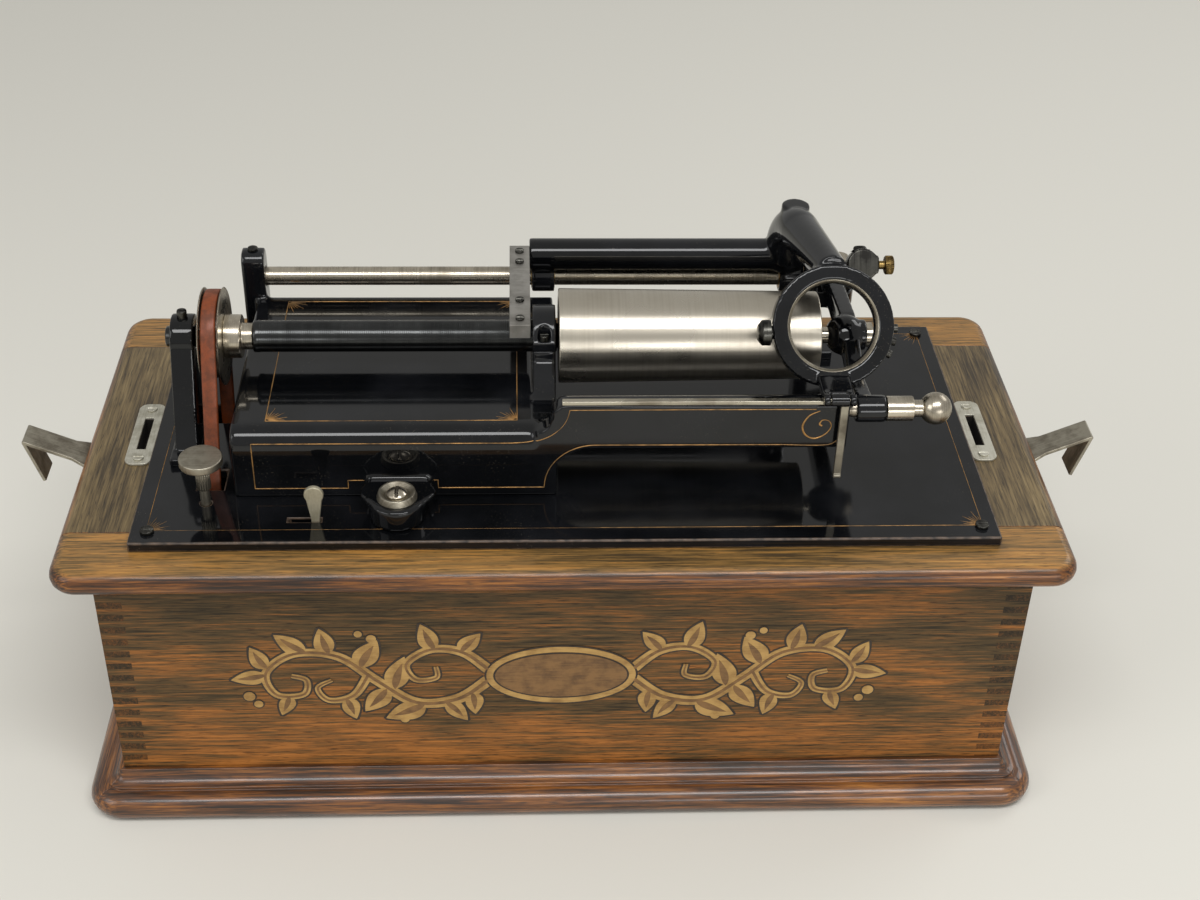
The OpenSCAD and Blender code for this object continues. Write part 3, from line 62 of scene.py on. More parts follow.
def makeCamera(setup):
    yaw, pitch, roll = setup["yaw"], setup["pitch"], setup["roll"]
    forward = Vector((math.sin(yaw) * math.cos(pitch), math.cos(yaw) * math.cos(pitch),
                      -math.sin(pitch)))
    level = Vector((math.cos(yaw), -math.sin(yaw), 0))
    upright = level.cross(forward)
    right = math.cos(roll) * level + math.sin(roll) * upright
    up = math.cos(roll) * upright - math.sin(roll) * level
    data = bpy.data.cameras.new("photoCamera")
    data.sensor_width = setup["sensor"]
    data.lens = setup["focalPixels"] / setup["framePixels"] * setup["sensor"]
    data.clip_start = 0.01
    camera = bpy.data.objects.new("photoCamera", data)
    turn = Matrix((right, up, -forward)).transposed().to_4x4()
    camera.matrix_world = Matrix.Translation(Vector(setup["place"]) * mm) @ turn
    bpy.context.scene.collection.objects.link(camera)
    bpy.context.scene.camera = camera


makeCamera(cameraSetup)
print("camera placed")


# Colour and node helpers
def linear(hexColour):
    parts = [int(hexColour[i:i + 2], 16) / 255 for i in (1, 3, 5)]
    return tuple(p / 12.92 if p <= 0.04045 else ((p + 0.055) / 1.055) ** 2.4 for p in parts) + (1.0,)


# Adds one node and gives back one of its outputs: inputs are values or sockets, stops fill a colour ramp
def addNode(tree, kind, inputs=(), stops=(), out=0, **settings):
    node = tree.nodes.new(kind)
    for key, value in settings.items():
        setattr(node, key, value)
    for key, value in dict(inputs).items():
        if isinstance(value, bpy.types.NodeSocket):
            tree.links.new(value, node.inputs[key])
        else:
            node.inputs[key].default_value = value
    for number, (place, colour) in enumerate(stops):
        elements = node.color_ramp.elements
        element = elements[number] if number < len(elements) else elements.new(place)
        element.position = place
        element.color = linear(colour)
    return node.outputs[out]


# Low and high ends of a Map Range, by the name of their side
def span(side, ends):
    return {side + " Min": ends[0], side + " Max": ends[1]}


def newMaterial(name, **constants):
    material = bpy.data.materials.new(name)
    material.use_nodes = True
    shader = material.node_tree.nodes["Principled BSDF"]
    for key, value in constants.items():
        shader.inputs[key].default_value = value
    return material, material.node_tree, shader


mottleRoughness = 0.55  # how strongly each finer layer of blotches shows


# Mottling of real size: lengths of its blotches along X, Y and Z in mm
def mottle(tree, sizes, detail):
    place = addNode(tree, "ShaderNodeTexCoord", out="Object")
    scale = [1 / (size * mm) for size in sizes]
    fitted = addNode(tree, "ShaderNodeMapping", {"Vector": place, "Scale": scale})
    return addNode(tree, "ShaderNodeTexNoise", {"Vector": fitted, "Scale": 1.0, "Detail": detail,
                                                "Roughness": mottleRoughness})


# Quarter-sawn oak, fumed and shellacked long ago: straight streaks that run from an olive-dark weathered
# finish to the orange stain beneath it, dark open pores, and end grain that has gone dark
oakLooks = {
    "board": ["#2f2618", "#4a3b24", "#634829", "#8b592a", "#a96c33"],
    "railTop": ["#40311b", "#634b27", "#856435", "#a27338", "#b98a48"],
    "railSide": ["#2b2315", "#453822", "#5d4d31", "#72603f", "#86734f"],
    "polished": ["#160d07", "#351f0e", "#5a3415", "#82501f", "#a56b2b"],
    "places": (0.37, 0.44, 0.50, 0.565, 0.64), "pore": "#170f08", "end": "#1d130a",
    # width and length in mm, and fine detail
    "streak": (1.3, 38, 5), "grain": (0.6, 15, 4), "patch": (22, 80, 2), "pores": (0.45, 8, 2),
    "grainShare": 0.35, "patchShare": 0.3, "poreCut": (0.56, 0.70), "poreShare": 0.75,
    "roundCut": (0.97, 0.7), "endCut": (0.6, 0.9), "endShare": 0.6,  # by the way that a face points
    "sheenSpan": (0.35, 0.65), "roughness": (0.52, 0.34), "coatRoughness": 0.12,
    "poreRelief": 0.5, "poreDepth": 0.10,
    "bottomTintHeight": (30, 78), "bottomTintShift": (0.055, -0.02),  # height in mm, and how far the tone shifts there: lighter and more orange towards the bottom
}
# Colours of flat faces with the grain along X and along Y, colours of rounded faces, shine of the bare
# wood, coat of shellac, and whether end grain shows
oakUses = {
    "board": {"flat": ("board", "board"), "round": "board", "shine": 0.25, "coat": 0.0, "end": True},
    "rail": {"flat": ("railTop", "railSide"), "round": "polished", "shine": 0.4, "coat": 0.25,
             "end": False},
    "moulding": {"flat": ("polished", "polished"), "round": "polished", "shine": 0.5, "coat": 0.6,
                 "end": False},
}


def quarterSawnOak(name, looks, use, along, flat):
    material, tree, shader = newMaterial(name, **{"Specular IOR Level": use["shine"],
                                                  "Coat Weight": use["coat"],
                                                  "Coat Roughness": looks["coatRoughness"]})
    layer = {}
    for key in ("streak", "grain", "patch", "pores"):
        width, length, detail = looks[key]
        layer[key] = mottle(tree, [length if axis == along else width for axis in "XYZ"], detail)
    figure = addNode(tree, "ShaderNodeMix", {0: looks["grainShare"], 2: layer["streak"],
                                             3: layer["grain"]})
    shown = addNode(tree, "ShaderNodeMix", {0: looks["patchShare"], 2: figure, 3: layer["patch"]})
    # boards shift lighter and more orange towards the bottom, by height alone
    if flat == "board":
        place = addNode(tree, "ShaderNodeTexCoord", out="Object")
        height = addNode(tree, "ShaderNodeSeparateXYZ", {0: place}, out="Z")
        bottomLevels = [level * mm for level in looks["bottomTintHeight"]]
        bottomTint = addNode(tree, "ShaderNodeMapRange", {"Value": height, **span("From", bottomLevels),
                                                       **span("To", looks["bottomTintShift"])})
        shown = addNode(tree, "ShaderNodeMath", {0: shown, 1: bottomTint}, operation="ADD")
    stops = zip(looks["places"], looks[flat])
    wood = addNode(tree, "ShaderNodeValToRGB", {"Fac": shown}, stops)
    normal = addNode(tree, "ShaderNodeTexCoord", out="Normal")
    if use["round"] != flat:
        stops = zip(looks["places"], looks[use["round"]])
        nose = addNode(tree, "ShaderNodeValToRGB", {"Fac": shown}, stops)
        upward = addNode(tree, "ShaderNodeSeparateXYZ", {0: normal}, out="Z")
        rounded = addNode(tree, "ShaderNodeMapRange", {"Value": upward, **span("From", looks["roundCut"])})
        wood = addNode(tree, "ShaderNodeMix", {0: rounded, 6: wood, 7: nose}, out=2, data_type="RGBA")
    holes = addNode(tree, "ShaderNodeMapRange", {"Value": layer["pores"], **span("From", looks["poreCut"]),
                                                 "To Max": looks["poreShare"]})
    wood = addNode(tree, "ShaderNodeMix", {0: holes, 6: wood, 7: linear(looks["pore"])}, out=2,
                   data_type="RGBA")
    if use["end"]:
        across = addNode(tree, "ShaderNodeSeparateXYZ", {0: normal}, out=along)
        facing = addNode(tree, "ShaderNodeMath", {0: across}, operation="ABSOLUTE")
        cut = addNode(tree, "ShaderNodeMapRange", {"Value": facing, **span("From", looks["endCut"]),
                                                   "To Max": looks["endShare"]})
        wood = addNode(tree, "ShaderNodeMix", {0: cut, 6: wood, 7: linear(looks["end"])}, out=2,
                       data_type="RGBA")
    tree.links.new(wood, shader.inputs["Base Color"])
    sheen = addNode(tree, "ShaderNodeMapRange", {"Value": shown, **span("From", looks["sheenSpan"]),
                                                 **span("To", looks["roughness"])})
    tree.links.new(sheen, shader.inputs["Roughness"])
    relief = addNode(tree, "ShaderNodeBump", {"Height": layer["pores"], "Strength": looks["poreRelief"],
                                              "Distance": looks["poreDepth"] * mm}, invert=True)
    tree.links.new(relief, shader.inputs["Normal"])
    return material


# Baked black japan on cast iron: a deep gloss with soft dimples, duller rubbed patches and settled dust
japanLooks = {
    "black": "#07080a", "rubbed": "#141518", "dust": "#5d564a", "ior": 1.46,
    # size in mm and fine detail
    "patch": (38, 4), "dustGrain": (0.8, 1), "dustPatch": (26, 2), "dimple": (11, 1),
    "rubbedCut": (0.4, 0.7), "gritCut": (0.66, 0.74), "dustCut": (0.45, 0.75), "dustShare": 0.5,
    "glossSpan": (0.35, 0.75), "roughness": (0.035, 0.13), "dustRoughness": 0.5,
    "dimpleRelief": 0.3, "dimpleDepth": 0.03,
}


def blackJapan(name, looks):
    material, tree, shader = newMaterial(name, IOR=looks["ior"])
    patches, grains, settled, dimples = (mottle(tree, [looks[key][0]] * 3, looks[key][1])
                                         for key in ("patch", "dustGrain", "dustPatch", "dimple"))
    stops = zip(looks["rubbedCut"], (looks["black"], looks["rubbed"]))
    coat = addNode(tree, "ShaderNodeValToRGB", {"Fac": patches}, stops)
    grit = addNode(tree, "ShaderNodeMapRange", {"Value": grains, **span("From", looks["gritCut"])})
    where = addNode(tree, "ShaderNodeMapRange", {"Value": settled, **span("From", looks["dustCut"]),
                                                 "To Max": looks["dustShare"]})
    specks = addNode(tree, "ShaderNodeMath", {0: grit, 1: where}, operation="MULTIPLY")
    dusty = addNode(tree, "ShaderNodeMix", {0: specks, 6: coat, 7: linear(looks["dust"])}, out=2,
                    data_type="RGBA")
    tree.links.new(dusty, shader.inputs["Base Color"])
    gloss = addNode(tree, "ShaderNodeMapRange", {"Value": patches, **span("From", looks["glossSpan"]),
                                                 **span("To", looks["roughness"])})
    dull = addNode(tree, "ShaderNodeMath", {0: specks, 1: looks["dustRoughness"], 2: gloss},
                   operation="MULTIPLY_ADD")
    tree.links.new(dull, shader.inputs["Roughness"])
    relief = addNode(tree, "ShaderNodeBump", {"Height": dimples, "Strength": looks["dimpleRelief"],
                                              "Distance": looks["dimpleDepth"] * mm})
    tree.links.new(relief, shader.inputs["Normal"])
    return material


# Two-tone finishes in soft patches with fine lines, sizes in mm: metals, where no lower share of metal is
# given, and worn edges with a painted highlight, painted shade in a mortise, gold paint, leather and ink
toneLooks = {
    # nickel plate gone warm and hazy with age
    "nickelPlate": {"bright": "#c6bdac", "dull": "#8e8678", "patch": 14, "roughness": (0.18, 0.36),
                    "lines": (0.5, 30, 30)},
    # the mandrel's turned and polished nickel, with faint rings round it
    "turnedNickel": {"bright": "#c6bfb1", "dull": "#b5ad9e", "patch": 40, "roughness": (0.27, 0.36),
                     "lines": (1.6, 120, 120)},
    # thumb piece of dull matt nickel
    "mattNickel": {"bright": "#b9b29c", "dull": "#a09983", "patch": 6, "roughness": (0.42, 0.55),
                   "lines": (0.6, 0.6, 9), "metallic": 0.7},
    # sheet steel of latches and levers, dulled grey-tan
    "sheetSteel": {"bright": "#a8a293", "dull": "#777063", "patch": 9, "roughness": (0.36, 0.55),
                   "lines": (14, 0.5, 14)},
    # bright drawn steel
    "drawnSteel": {"bright": "#bdb6a6", "dull": "#8a8273", "patch": 16, "roughness": (0.22, 0.38),
                   "lines": (40, 0.4, 0.4)},
    # oiled dark steel of screws, shaver block and arbors
    "oiledSteel": {"bright": "#55544f", "dull": "#2c2b29", "patch": 8, "roughness": (0.26, 0.42),
                   "lines": (0.6, 20, 20)},
    # dark spring steel of the nut bar, wiped bright in streaks
    "springSteel": {"bright": "#9c9993", "dull": "#7a7771", "patch": 11, "roughness": (0.36, 0.5),
                    "lines": (9, 0.5, 9), "metallic": 0.7},
    # nickelled slot plates, pale and dull
    "paleNickel": {"bright": "#cbc8ba", "dull": "#a8a494", "patch": 8, "roughness": (0.38, 0.52),
                   "lines": (0.5, 8, 8), "metallic": 0.7},
    # near-black steel of the feed screw, with a thin film of oil
    "feedSteel": {"bright": "#454646", "dull": "#303131", "patch": 30, "roughness": (0.18, 0.26),
                  "lines": (1.0, 90, 90)},
    # brass gone brown in the corners
    "agedBrass": {"bright": "#b8954f", "dull": "#77592c", "patch": 7, "roughness": (0.24, 0.45),
                  "lines": (0.5, 15, 15)},
    # bronze of the thumbscrew, nearly black in the knurl
    "oldBronze": {"bright": "#8d7648", "dull": "#4d3e26", "patch": 4, "roughness": (0.3, 0.5),
                  "lines": (0.5, 15, 15)},
    # unmachined iron of the motor's plates
    "motorIron": {"bright": "#5a5854", "dull": "#393734", "patch": 20, "roughness": (0.4, 0.6),
                  "lines": (20, 0.7, 0.7)},
    # japan rubbed through to brown iron along an edge, and a painted highlight: every eased edge made
    # lighter than the japan
    "wornEdgeHighlight": {"bright": "#57473a", "dull": "#1d1815", "patch": 5, "roughness": (0.3, 0.5),
                   "lines": (6, 0.6, 0.6), "metallic": 0.0},
    # painted shade: the raw oak walls and floor inside the slot's mortise, coloured near black where shade
    # falls in the recess
    "mortiseShade": {"bright": "#1a130c", "dull": "#0c0905", "patch": 6, "roughness": (0.7, 0.9),
                  "lines": (0.8, 14, 14), "metallic": 0.0},
    # bronze-powder gold paint of the pinstripes, thin and rubbed in places
    "goldPaint": {"bright": "#b0834a", "dull": "#6c5230", "patch": 12, "roughness": (0.35, 0.55),
                  "lines": (3, 3, 3), "metallic": 0.35},
    # vegetable-tanned leather of the belt, polished by the pulleys
    "belting": {"bright": "#7a3814", "dull": "#5a2a0e", "patch": 5, "roughness": (0.42, 0.62),
                "lines": (0.8, 0.8, 0.8), "metallic": 0.0},
    # ochre, umber and black of a varnished transfer, worn down to the wood in specks
    "transferOchre": {"bright": "#b08c50", "dull": "#8a6836", "patch": 9, "roughness": (0.4, 0.55),
                      "lines": (9, 0.6, 0.6), "metallic": 0.0},
    "transferUmber": {"bright": "#7d5b33", "dull": "#5b4023", "patch": 7, "roughness": (0.4, 0.55),
                      "lines": (9, 0.6, 0.6), "metallic": 0.0},
    "transferBlack": {"bright": "#33261a", "dull": "#1f160e", "patch": 7, "roughness": (0.4, 0.55),
                      "lines": (9, 0.6, 0.6), "metallic": 0.0},
}
toneBlend = {  # how patches and lines mix in each of them
    "detail": (4, 2), "linesShare": 0.3, "stops": (0.38, 0.58), "glossSpan": (0.62, 0.36),
    "relief": 0.15, "depth": 0.02,  # depth in mm
}


def twoTone(name, looks, blend):
    material, tree, shader = newMaterial(name, Metallic=looks.get("metallic", 1.0))
    patches = mottle(tree, [looks["patch"]] * 3, blend["detail"][0])
    lines = mottle(tree, looks["lines"], blend["detail"][1])
    mixed = addNode(tree, "ShaderNodeMix", {0: blend["linesShare"], 2: patches, 3: lines})
    stops = zip(blend["stops"], (looks["dull"], looks["bright"]))
    colour = addNode(tree, "ShaderNodeValToRGB", {"Fac": mixed}, stops)
    tree.links.new(colour, shader.inputs["Base Color"])
    gloss = addNode(tree, "ShaderNodeMapRange", {"Value": patches, **span("From", blend["glossSpan"]),
                                                 **span("To", looks["roughness"])})
    tree.links.new(gloss, shader.inputs["Roughness"])
    relief = addNode(tree, "ShaderNodeBump", {"Height": lines, "Strength": blend["relief"],
                                              "Distance": blend["depth"] * mm})
    tree.links.new(relief, shader.inputs["Normal"])
    return material


oak = {}
for name, use in oakUses.items():
    for along, flat in zip("XY", use["flat"]):
        fullName = "oak" + name.capitalize() + "Along" + along
        oak[name + along] = quarterSawnOak(fullName, oakLooks, use, along, flat)
japan = blackJapan("blackJapan", japanLooks)
tone = {name: twoTone(name, looks, toneBlend) for name, looks in toneLooks.items()}
print("materials made")

# Finish and record slot of every node that shows as it is, or whose dressed copy stands for it
finishes = {
    (oak["boardX"], "oak"): ["front_board", "back_board", "bottom_board"],
    (oak["boardY"], "oak"): ["left_board", "right_board"],
    (oak["railX"], "oak"): ["front_rail", "back_rail"],
    (oak["railY"], "oak"): ["side_rails"],
    (oak["mouldingX"], "oak"): ["front_moulding", "back_moulding"],
    (oak["mouldingY"], "oak"): ["side_mouldings"],
    (japan, "black_japan"): ["bedplate", "body_casting", "bearing_cap", "pulley_post", "gate_post",
                             "carriage_casting", "end_gate"],
    (tone["turnedNickel"], "nickel"): ["mandrel"],
    (tone["nickelPlate"], "nickel"): ["upper_pulley", "shaft_collar", "gate_bolt", "back_rod", "centre_pin",
                                      "hold_down_screw", "gate_pin"],
    (tone["mattNickel"], "nickel"): ["start_lever"],
    (tone["sheetSteel"], "steel"): ["left_latch", "right_latch", "speed_screw", "latch_brackets",
                                    "latch_pins", "lift_lever", "hold_down_cup"],
    (tone["paleNickel"], "steel"): ["slot_plates", "slot_plate_screws"],
    (tone["springSteel"], "steel"): ["feed_nut_bar"],
    (tone["feedSteel"], "steel"): ["feed_screw"],
    (tone["drawnSteel"], "steel"): ["straight_edge", "lift_lever_pin"],
    (tone["oiledSteel"], "steel"): ["bedplate_screws", "works_screws", "carriage_screws", "shaver_block",
                                    "motor_pillars", "winding_arbor"],
    (tone["oldBronze"], "brass"): ["shaver_thumbscrew"],
    (tone["agedBrass"], "brass"): ["feed_nut", "carriage_bushes", "spring_barrel",
                                   "second_arbor", "drive_shaft", "governor", "winding_escutcheon",
                                   "case_hinge_leaves", "top_hinge_leaves", "hinge_pins"],
    (tone["motorIron"], "steel"): ["motor_plates"],
    (tone["belting"], "leather"): ["drive_belt"],
}
finishOf = {name: finish for finish, names in finishes.items() for name in names}
for name, (finish, slotName) in finishOf.items():
    node = frame["nodes"][name]
    node.data.materials.clear()
    node.data.materials.append(finish)
print("nodes finished")


# Links a finished mesh as a piece that rides on a body, and takes the place of the nodes named
def addPiece(name, mesh, body, slotName, *nodes):
    piece = bpy.data.objects.new(name, mesh)
    bpy.context.scene.collection.objects.link(piece)
    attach(piece, body)
    if nodes:
        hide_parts(*nodes)


# Turns a bmesh into a mesh and frees it
def meshFrom(shape, name, smooth=True):
    mesh = bpy.data.meshes.new(name)
    shape.to_mesh(mesh)
    shape.free()
    mesh.polygons.foreach_set("use_smooth", [smooth] * len(mesh.polygons))
    return mesh


# A node's mesh with its loose triangles joined and its flat faces made whole
joining = {"gap": 0.002, "flatAngle": 0.5}  # mm, degrees


def joinedCopy(nodeName):
    shape = bmesh.new()
    shape.from_mesh(frame["nodes"][nodeName].data)
    bmesh.ops.remove_doubles(shape, verts=shape.verts, dist=joining["gap"] * mm)
    bmesh.ops.dissolve_limit(shape, angle_limit=math.radians(joining["flatAngle"]),
                             verts=shape.verts, edges=shape.edges)
    return meshFrom(shape, nodeName + "Copy")


# A closed band through rings of points, in mm
def closedBand(name, rings):
    shape = bmesh.new()
    rows = [[shape.verts.new(Vector(point) * mm) for point in ring] for ring in rings]
    count = len(rows[0])
    for row, following in zip(rows, rows[1:] + rows[:1]):
        for k in range(count):
            n = (k + 1) % count
            shape.faces.new((row[k], row[n], following[n], following[k]))
    bmesh.ops.recalc_face_normals(shape, faces=shape.faces)
    return meshFrom(shape, name)


# Runs modifiers on a mesh and gives back the plain result
def shaped(name, mesh, *steps):
    worker = bpy.data.objects.new(name, mesh)
    bpy.context.scene.collection.objects.link(worker)
    for kind, settings in steps:
        modifier = worker.modifiers.new(kind, kind)
        for key, value in settings.items():
            setattr(modifier, key, value)
    evaluated = worker.evaluated_get(bpy.context.evaluated_depsgraph_get())
    result = bpy.data.meshes.new_from_object(evaluated)
    bpy.data.objects.remove(worker)
    result.name = name
    return result


# Castings: corners and joints run into each other in fillets, as moulded iron does
castings = {  # node: grid in mm, and passes of easing
    "body_casting": (1.1, 6), "carriage_casting": (0.7, 10), "end_gate": (0.6, 24),
    "pulley_post": (0.6, 14), "gate_post": (0.6, 10), "bearing_cap": (0.5, 14),
}


def castIron(nodeName, grid, passes):
    mesh = shaped(nodeName + "Cast", joinedCopy(nodeName),
                  ("REMESH", {"mode": "VOXEL", "voxel_size": grid * mm, "use_smooth_shade": True}),
                  ("SMOOTH", {"factor": 0.5, "iterations": passes}))
    mesh.materials.clear()
    mesh.materials.append(japan)
    addPiece(nodeName + "Cast", mesh, bodyOf[nodeName], "black_japan", nodeName)
    print("cast", nodeName, len(mesh.polygons), "faces")


for name, (grid, passes) in castings.items():
    castIron(name, grid, passes)


# Edges eased by file, plane or wear, so that they catch the light
easedEdges = {  # node: width of the eased edge in mm
    "front_rail": 0.6, "back_rail": 0.6, "side_rails": 0.4, "front_moulding": 0.4, "back_moulding": 0.4,
    "side_mouldings": 0.4, "bedplate": 0.9, "mandrel": 0.5, "upper_pulley": 0.5, "shaft_collar": 0.5,
    "gate_bolt": 0.3, "speed_screw": 0.6, "start_lever": 0.5, "straight_edge": 0.25, "hold_down_cup": 0.3,
    "hold_down_screw": 0.3, "bedplate_screws": 0.4, "works_screws": 0.3, "carriage_screws": 0.3,
    "slot_plate_screws": 0.2, "slot_plates": 0.3, "shaver_block": 1.0, "shaver_thumbscrew": 0.4,
    "lift_lever": 0.4, "feed_nut_bar": 0.25, "left_latch": 0.4, "right_latch": 0.4,
    "winding_escutcheon": 0.5, "gate_pin": 0.5,
}
secondSlot = 1  # of a mesh's finishes
bevelSetup = {"segments": 2, "limit_method": "ANGLE", "angle_limit": math.radians(40),
              "use_clamp_overlap": False}
darkened = {  # node: boxes in mm that hold its dark faces, and their finish
    # painted shade: faces inside both side rails' slots take the near-black mortise shade
    "side_rails": ([((-212.5, -20, 143.5), (-202.5, 16, 154.8)),
                    ((202.5, -20, 143.5), (212.5, 16, 154.8))], tone["mortiseShade"]),
    "lift_lever": ([((110, -70, 213), (140, -60, 222))], japan),
}


def easedNode(nodeName, width):
    copy = joinedCopy(nodeName)
    finish, slotName = finishOf[nodeName]
    copy.materials.append(finish)
    bevel = {"width": width * mm, **bevelSetup}
    if nodeName == "bedplate":
        # the bedplate's eased edges get the lighter edge colour: brown wear, and a painted highlight along
        # every edge
        copy.materials.append(tone["wornEdgeHighlight"])
        bevel["material"] = secondSlot
    mesh = shaped(nodeName + "Eased", copy, ("BEVEL", bevel), ("WEIGHTED_NORMAL", {"weight": 100}))
    if nodeName in darkened:
        boxes, dark = darkened[nodeName]
        mesh.materials.append(dark)
        for polygon in mesh.polygons:
            spot = polygon.center / mm
            if any(all(low[k] < spot[k] < high[k] for k in range(3)) for low, high in boxes):
                polygon.material_index = secondSlot
    addPiece(nodeName + "Eased", mesh, bodyOf[nodeName], slotName, nodeName)


for name, width in easedEdges.items():
    easedNode(name, width)
print("edges eased on", len(easedEdges), "nodes")


# Leather belt: a rounded strip swept round both pulleys
belt = {
    "x": -168, "width": 7.0, "thick": 2.4, "corner": 0.8, "cornerCut": 0.3,
    "upper": (0, 211.3, 21.5), "lower": (-35, 100, 31.5),  # Y, Z and radius of the strip's middle
    "arcSteps": 40,
}


def beltPath(setup):
    y0, z0, r0 = setup["upper"]
    y1, z1, r1 = setup["lower"]
    distance = math.hypot(y1 - y0, z1 - z0)
    heading = math.atan2(z1 - z0, y1 - y0)
    spread = math.acos((r0 - r1) / distance)
    path = []
    for y, z, r, start, sweep in ((y0, z0, r0, heading + spread, 2 * (math.pi - spread)),
                                  (y1, z1, r1, heading - spread, 2 * spread)):
        for step in range(setup["arcSteps"] + 1):
            angle = start + sweep * step / setup["arcSteps"]
            path.append((y + r * math.cos(angle), z + r * math.sin(angle), angle))
    return path


def makeBelt(setup):
    half, thick, corner = setup["width"] / 2, setup["thick"] / 2, setup["corner"]
    cut = setup["cornerCut"] * corner
    section = [(half - corner, thick), (half - cut, thick - cut), (half, thick - corner),
               (half, corner - thick), (half - cut, cut - thick), (half - corner, -thick)]
    section += [(-across, out) for across, out in reversed(section)]
    rings = [[(setup["x"] + across, y + out * math.cos(angle), z + out * math.sin(angle))
              for across, out in section] for y, z, angle in beltPath(setup)]
    mesh = closedBand("leatherBelt", rings)
    mesh.materials.append(tone["belting"])
    addPiece("leatherBelt", mesh, bodyOf["drive_belt"], "leather", "drive_belt")


makeBelt(belt)
print("belt made")


# Geometry Nodes helpers: a tree with named inputs, and a run of it on a mesh
def newTree(name, inputs):
    tree = bpy.data.node_groups.new(name, "GeometryNodeTree")
    tree.interface.new_socket("Geometry", in_out="INPUT", socket_type="NodeSocketGeometry")
    for label, kind in inputs.items():
        tree.interface.new_socket(label, in_out="INPUT", socket_type=kind)
    tree.interface.new_socket("Geometry", in_out="OUTPUT", socket_type="NodeSocketGeometry")
    return tree, tree.nodes.new("NodeGroupInput")


def closeTree(tree, geometry, material):
    smooth = addNode(tree, "GeometryNodeSetShadeSmooth", {"Geometry": geometry})
    whole = addNode(tree, "GeometryNodeRealizeInstances", {"Geometry": smooth})
    done = addNode(tree, "GeometryNodeSetMaterial", {"Geometry": whole, "Material": material})
    tree.links.new(done, tree.nodes.new("NodeGroupOutput").inputs["Geometry"])


def grown(name, base, tree, values):
    worker = bpy.data.objects.new(name, base)
    bpy.context.scene.collection.objects.link(worker)
    modifier = worker.modifiers.new(name, "NODES")
    modifier.node_group = tree
    for item in tree.interface.items_tree:
        if item.in_out == "INPUT" and item.name in values:
            modifier[item.identifier] = values[item.name]
    evaluated = worker.evaluated_get(bpy.context.evaluated_depsgraph_get())
    mesh = bpy.data.meshes.new_from_object(evaluated)
    worker.modifiers.clear()
    bpy.data.objects.remove(worker)
    mesh.name = name
    return mesh


# Gold pinstripes, corner fans and the curl on the beam, drawn as thin raised lines
goldLines = {
    "radius": 0.27, "sides": 6, "faceY": -60.5, "deckZ": 196.0, "plateZ": 160.0,
    "rollRadius": 9.0, "rollEnd": -15,  # rounded front edge of the deck, up to this X
    "step": 3.0, "wear": 0.45, "deckShare": 0.9, "plateShare": 0.6,  # thickness left on the frames
    "wearWaves": [(0.11, 0.07, 0.0), (0.31, -0.23, 1.0)],  # radians for each mm of X and Y, and a shift
    "rubbed": [(-193, 16, -85.5, 0.35), (-112, -58, -50, 0.4)],  # from X, to X, Y and the thickness left
    "rubbedReach": 0.1,
    "deckFrame": [(-140, -50), (-23.6, -50), (-23.6, 58), (-140, 58)],
    "plateFrame": [(-193, -85.5), (193, -85.5), (193, 84), (-193, 84)],
    "upperStart": [(-146, 165), (-146, 187), (-146, 190)],
    "upperBend": [(-26, 190), (-17, 190.8), (-9, 193.8), (-3.4, 198.6), (-0.6, 203.6), (0.6, 208.5)],
    "upperEnd": [(60, 208.6), (114, 208.5)],
    "lower": [(-146, 165), (-102.6, 165), (-102.6, 169.5), (-60.7, 169.5), (-60.7, 165), (-11, 165)],
    "lowerArc": (12.6, 165.4, 23.6), "arcSteps": 12,  # centre and radius of a quarter turn
    "lowerEnd": [(100, 188.8), (118, 188.4), (124, 190), (127, 194.5), (127.8, 198.5)],
    "curl": [(115.8, 207.6), (111, 204.9), (108.4, 199.4), (110, 194.5), (114.2, 192.3), (119, 194.4),
             (121.7, 198.5), (120.6, 201.9), (117.6, 202.6), (116.2, 200.4), (117.4, 199.4)],
    "curlWeights": [0.8, 1.4, 1.9, 1.8, 1.5, 1.3, 1.1, 1.0, 1.2, 1.7, 1.7],
    "fan": {"strokes": 8, "length": (5, 9.5), "near": 1.6, "angles": (8, 82), "beat": 2.4,
            "weights": [(0, 0.9), (0.4, 1), (1, 0.3)]},  # part of the way, and thickness there
}


# A smooth line that passes through every point
def throughPoints(points, steps=6):
    padded = [points[0]] + list(points) + [points[-1]]
    line = []
    for k in range(1, len(padded) - 2):
        before, here, after, beyond = (Vector(padded[k + shift]) for shift in (-1, 0, 1, 2))
        for step in range(steps):
            t = step / steps
            square = 2 * before - 5 * here + 4 * after - beyond
            cube = 3 * here - before - 3 * after + beyond
            line.append(0.5 * (2 * here + (after - before) * t + square * t ** 2 + cube * t ** 3))
    return line + [Vector(points[-1])]


# Points every few millimetres along a line, with weights for paint that is rubbed thin in places
def wornLine(points, setup, share):
    line = [Vector(points[0])]
    for start, stop in zip(points, points[1:]):
        start, stop = Vector(start), Vector(stop)
        count = max(1, round((stop - start).length / setup["step"]))
        line += [start.lerp(stop, (k + 1) / count) for k in range(count)]
    weights = []
    for p in line:
        rub = math.prod(math.sin(p.x * a + p.y * b + c) for a, b, c in setup["wearWaves"])
        left = [keep for low, high, y, keep in setup["rubbed"]
                if low < p.x < high and abs(p.y - y) < setup["rubbedReach"]]
        weights.append(share * min([1.0] + left) * (1 - setup["wear"] * max(0, rub)))
    return line, weights


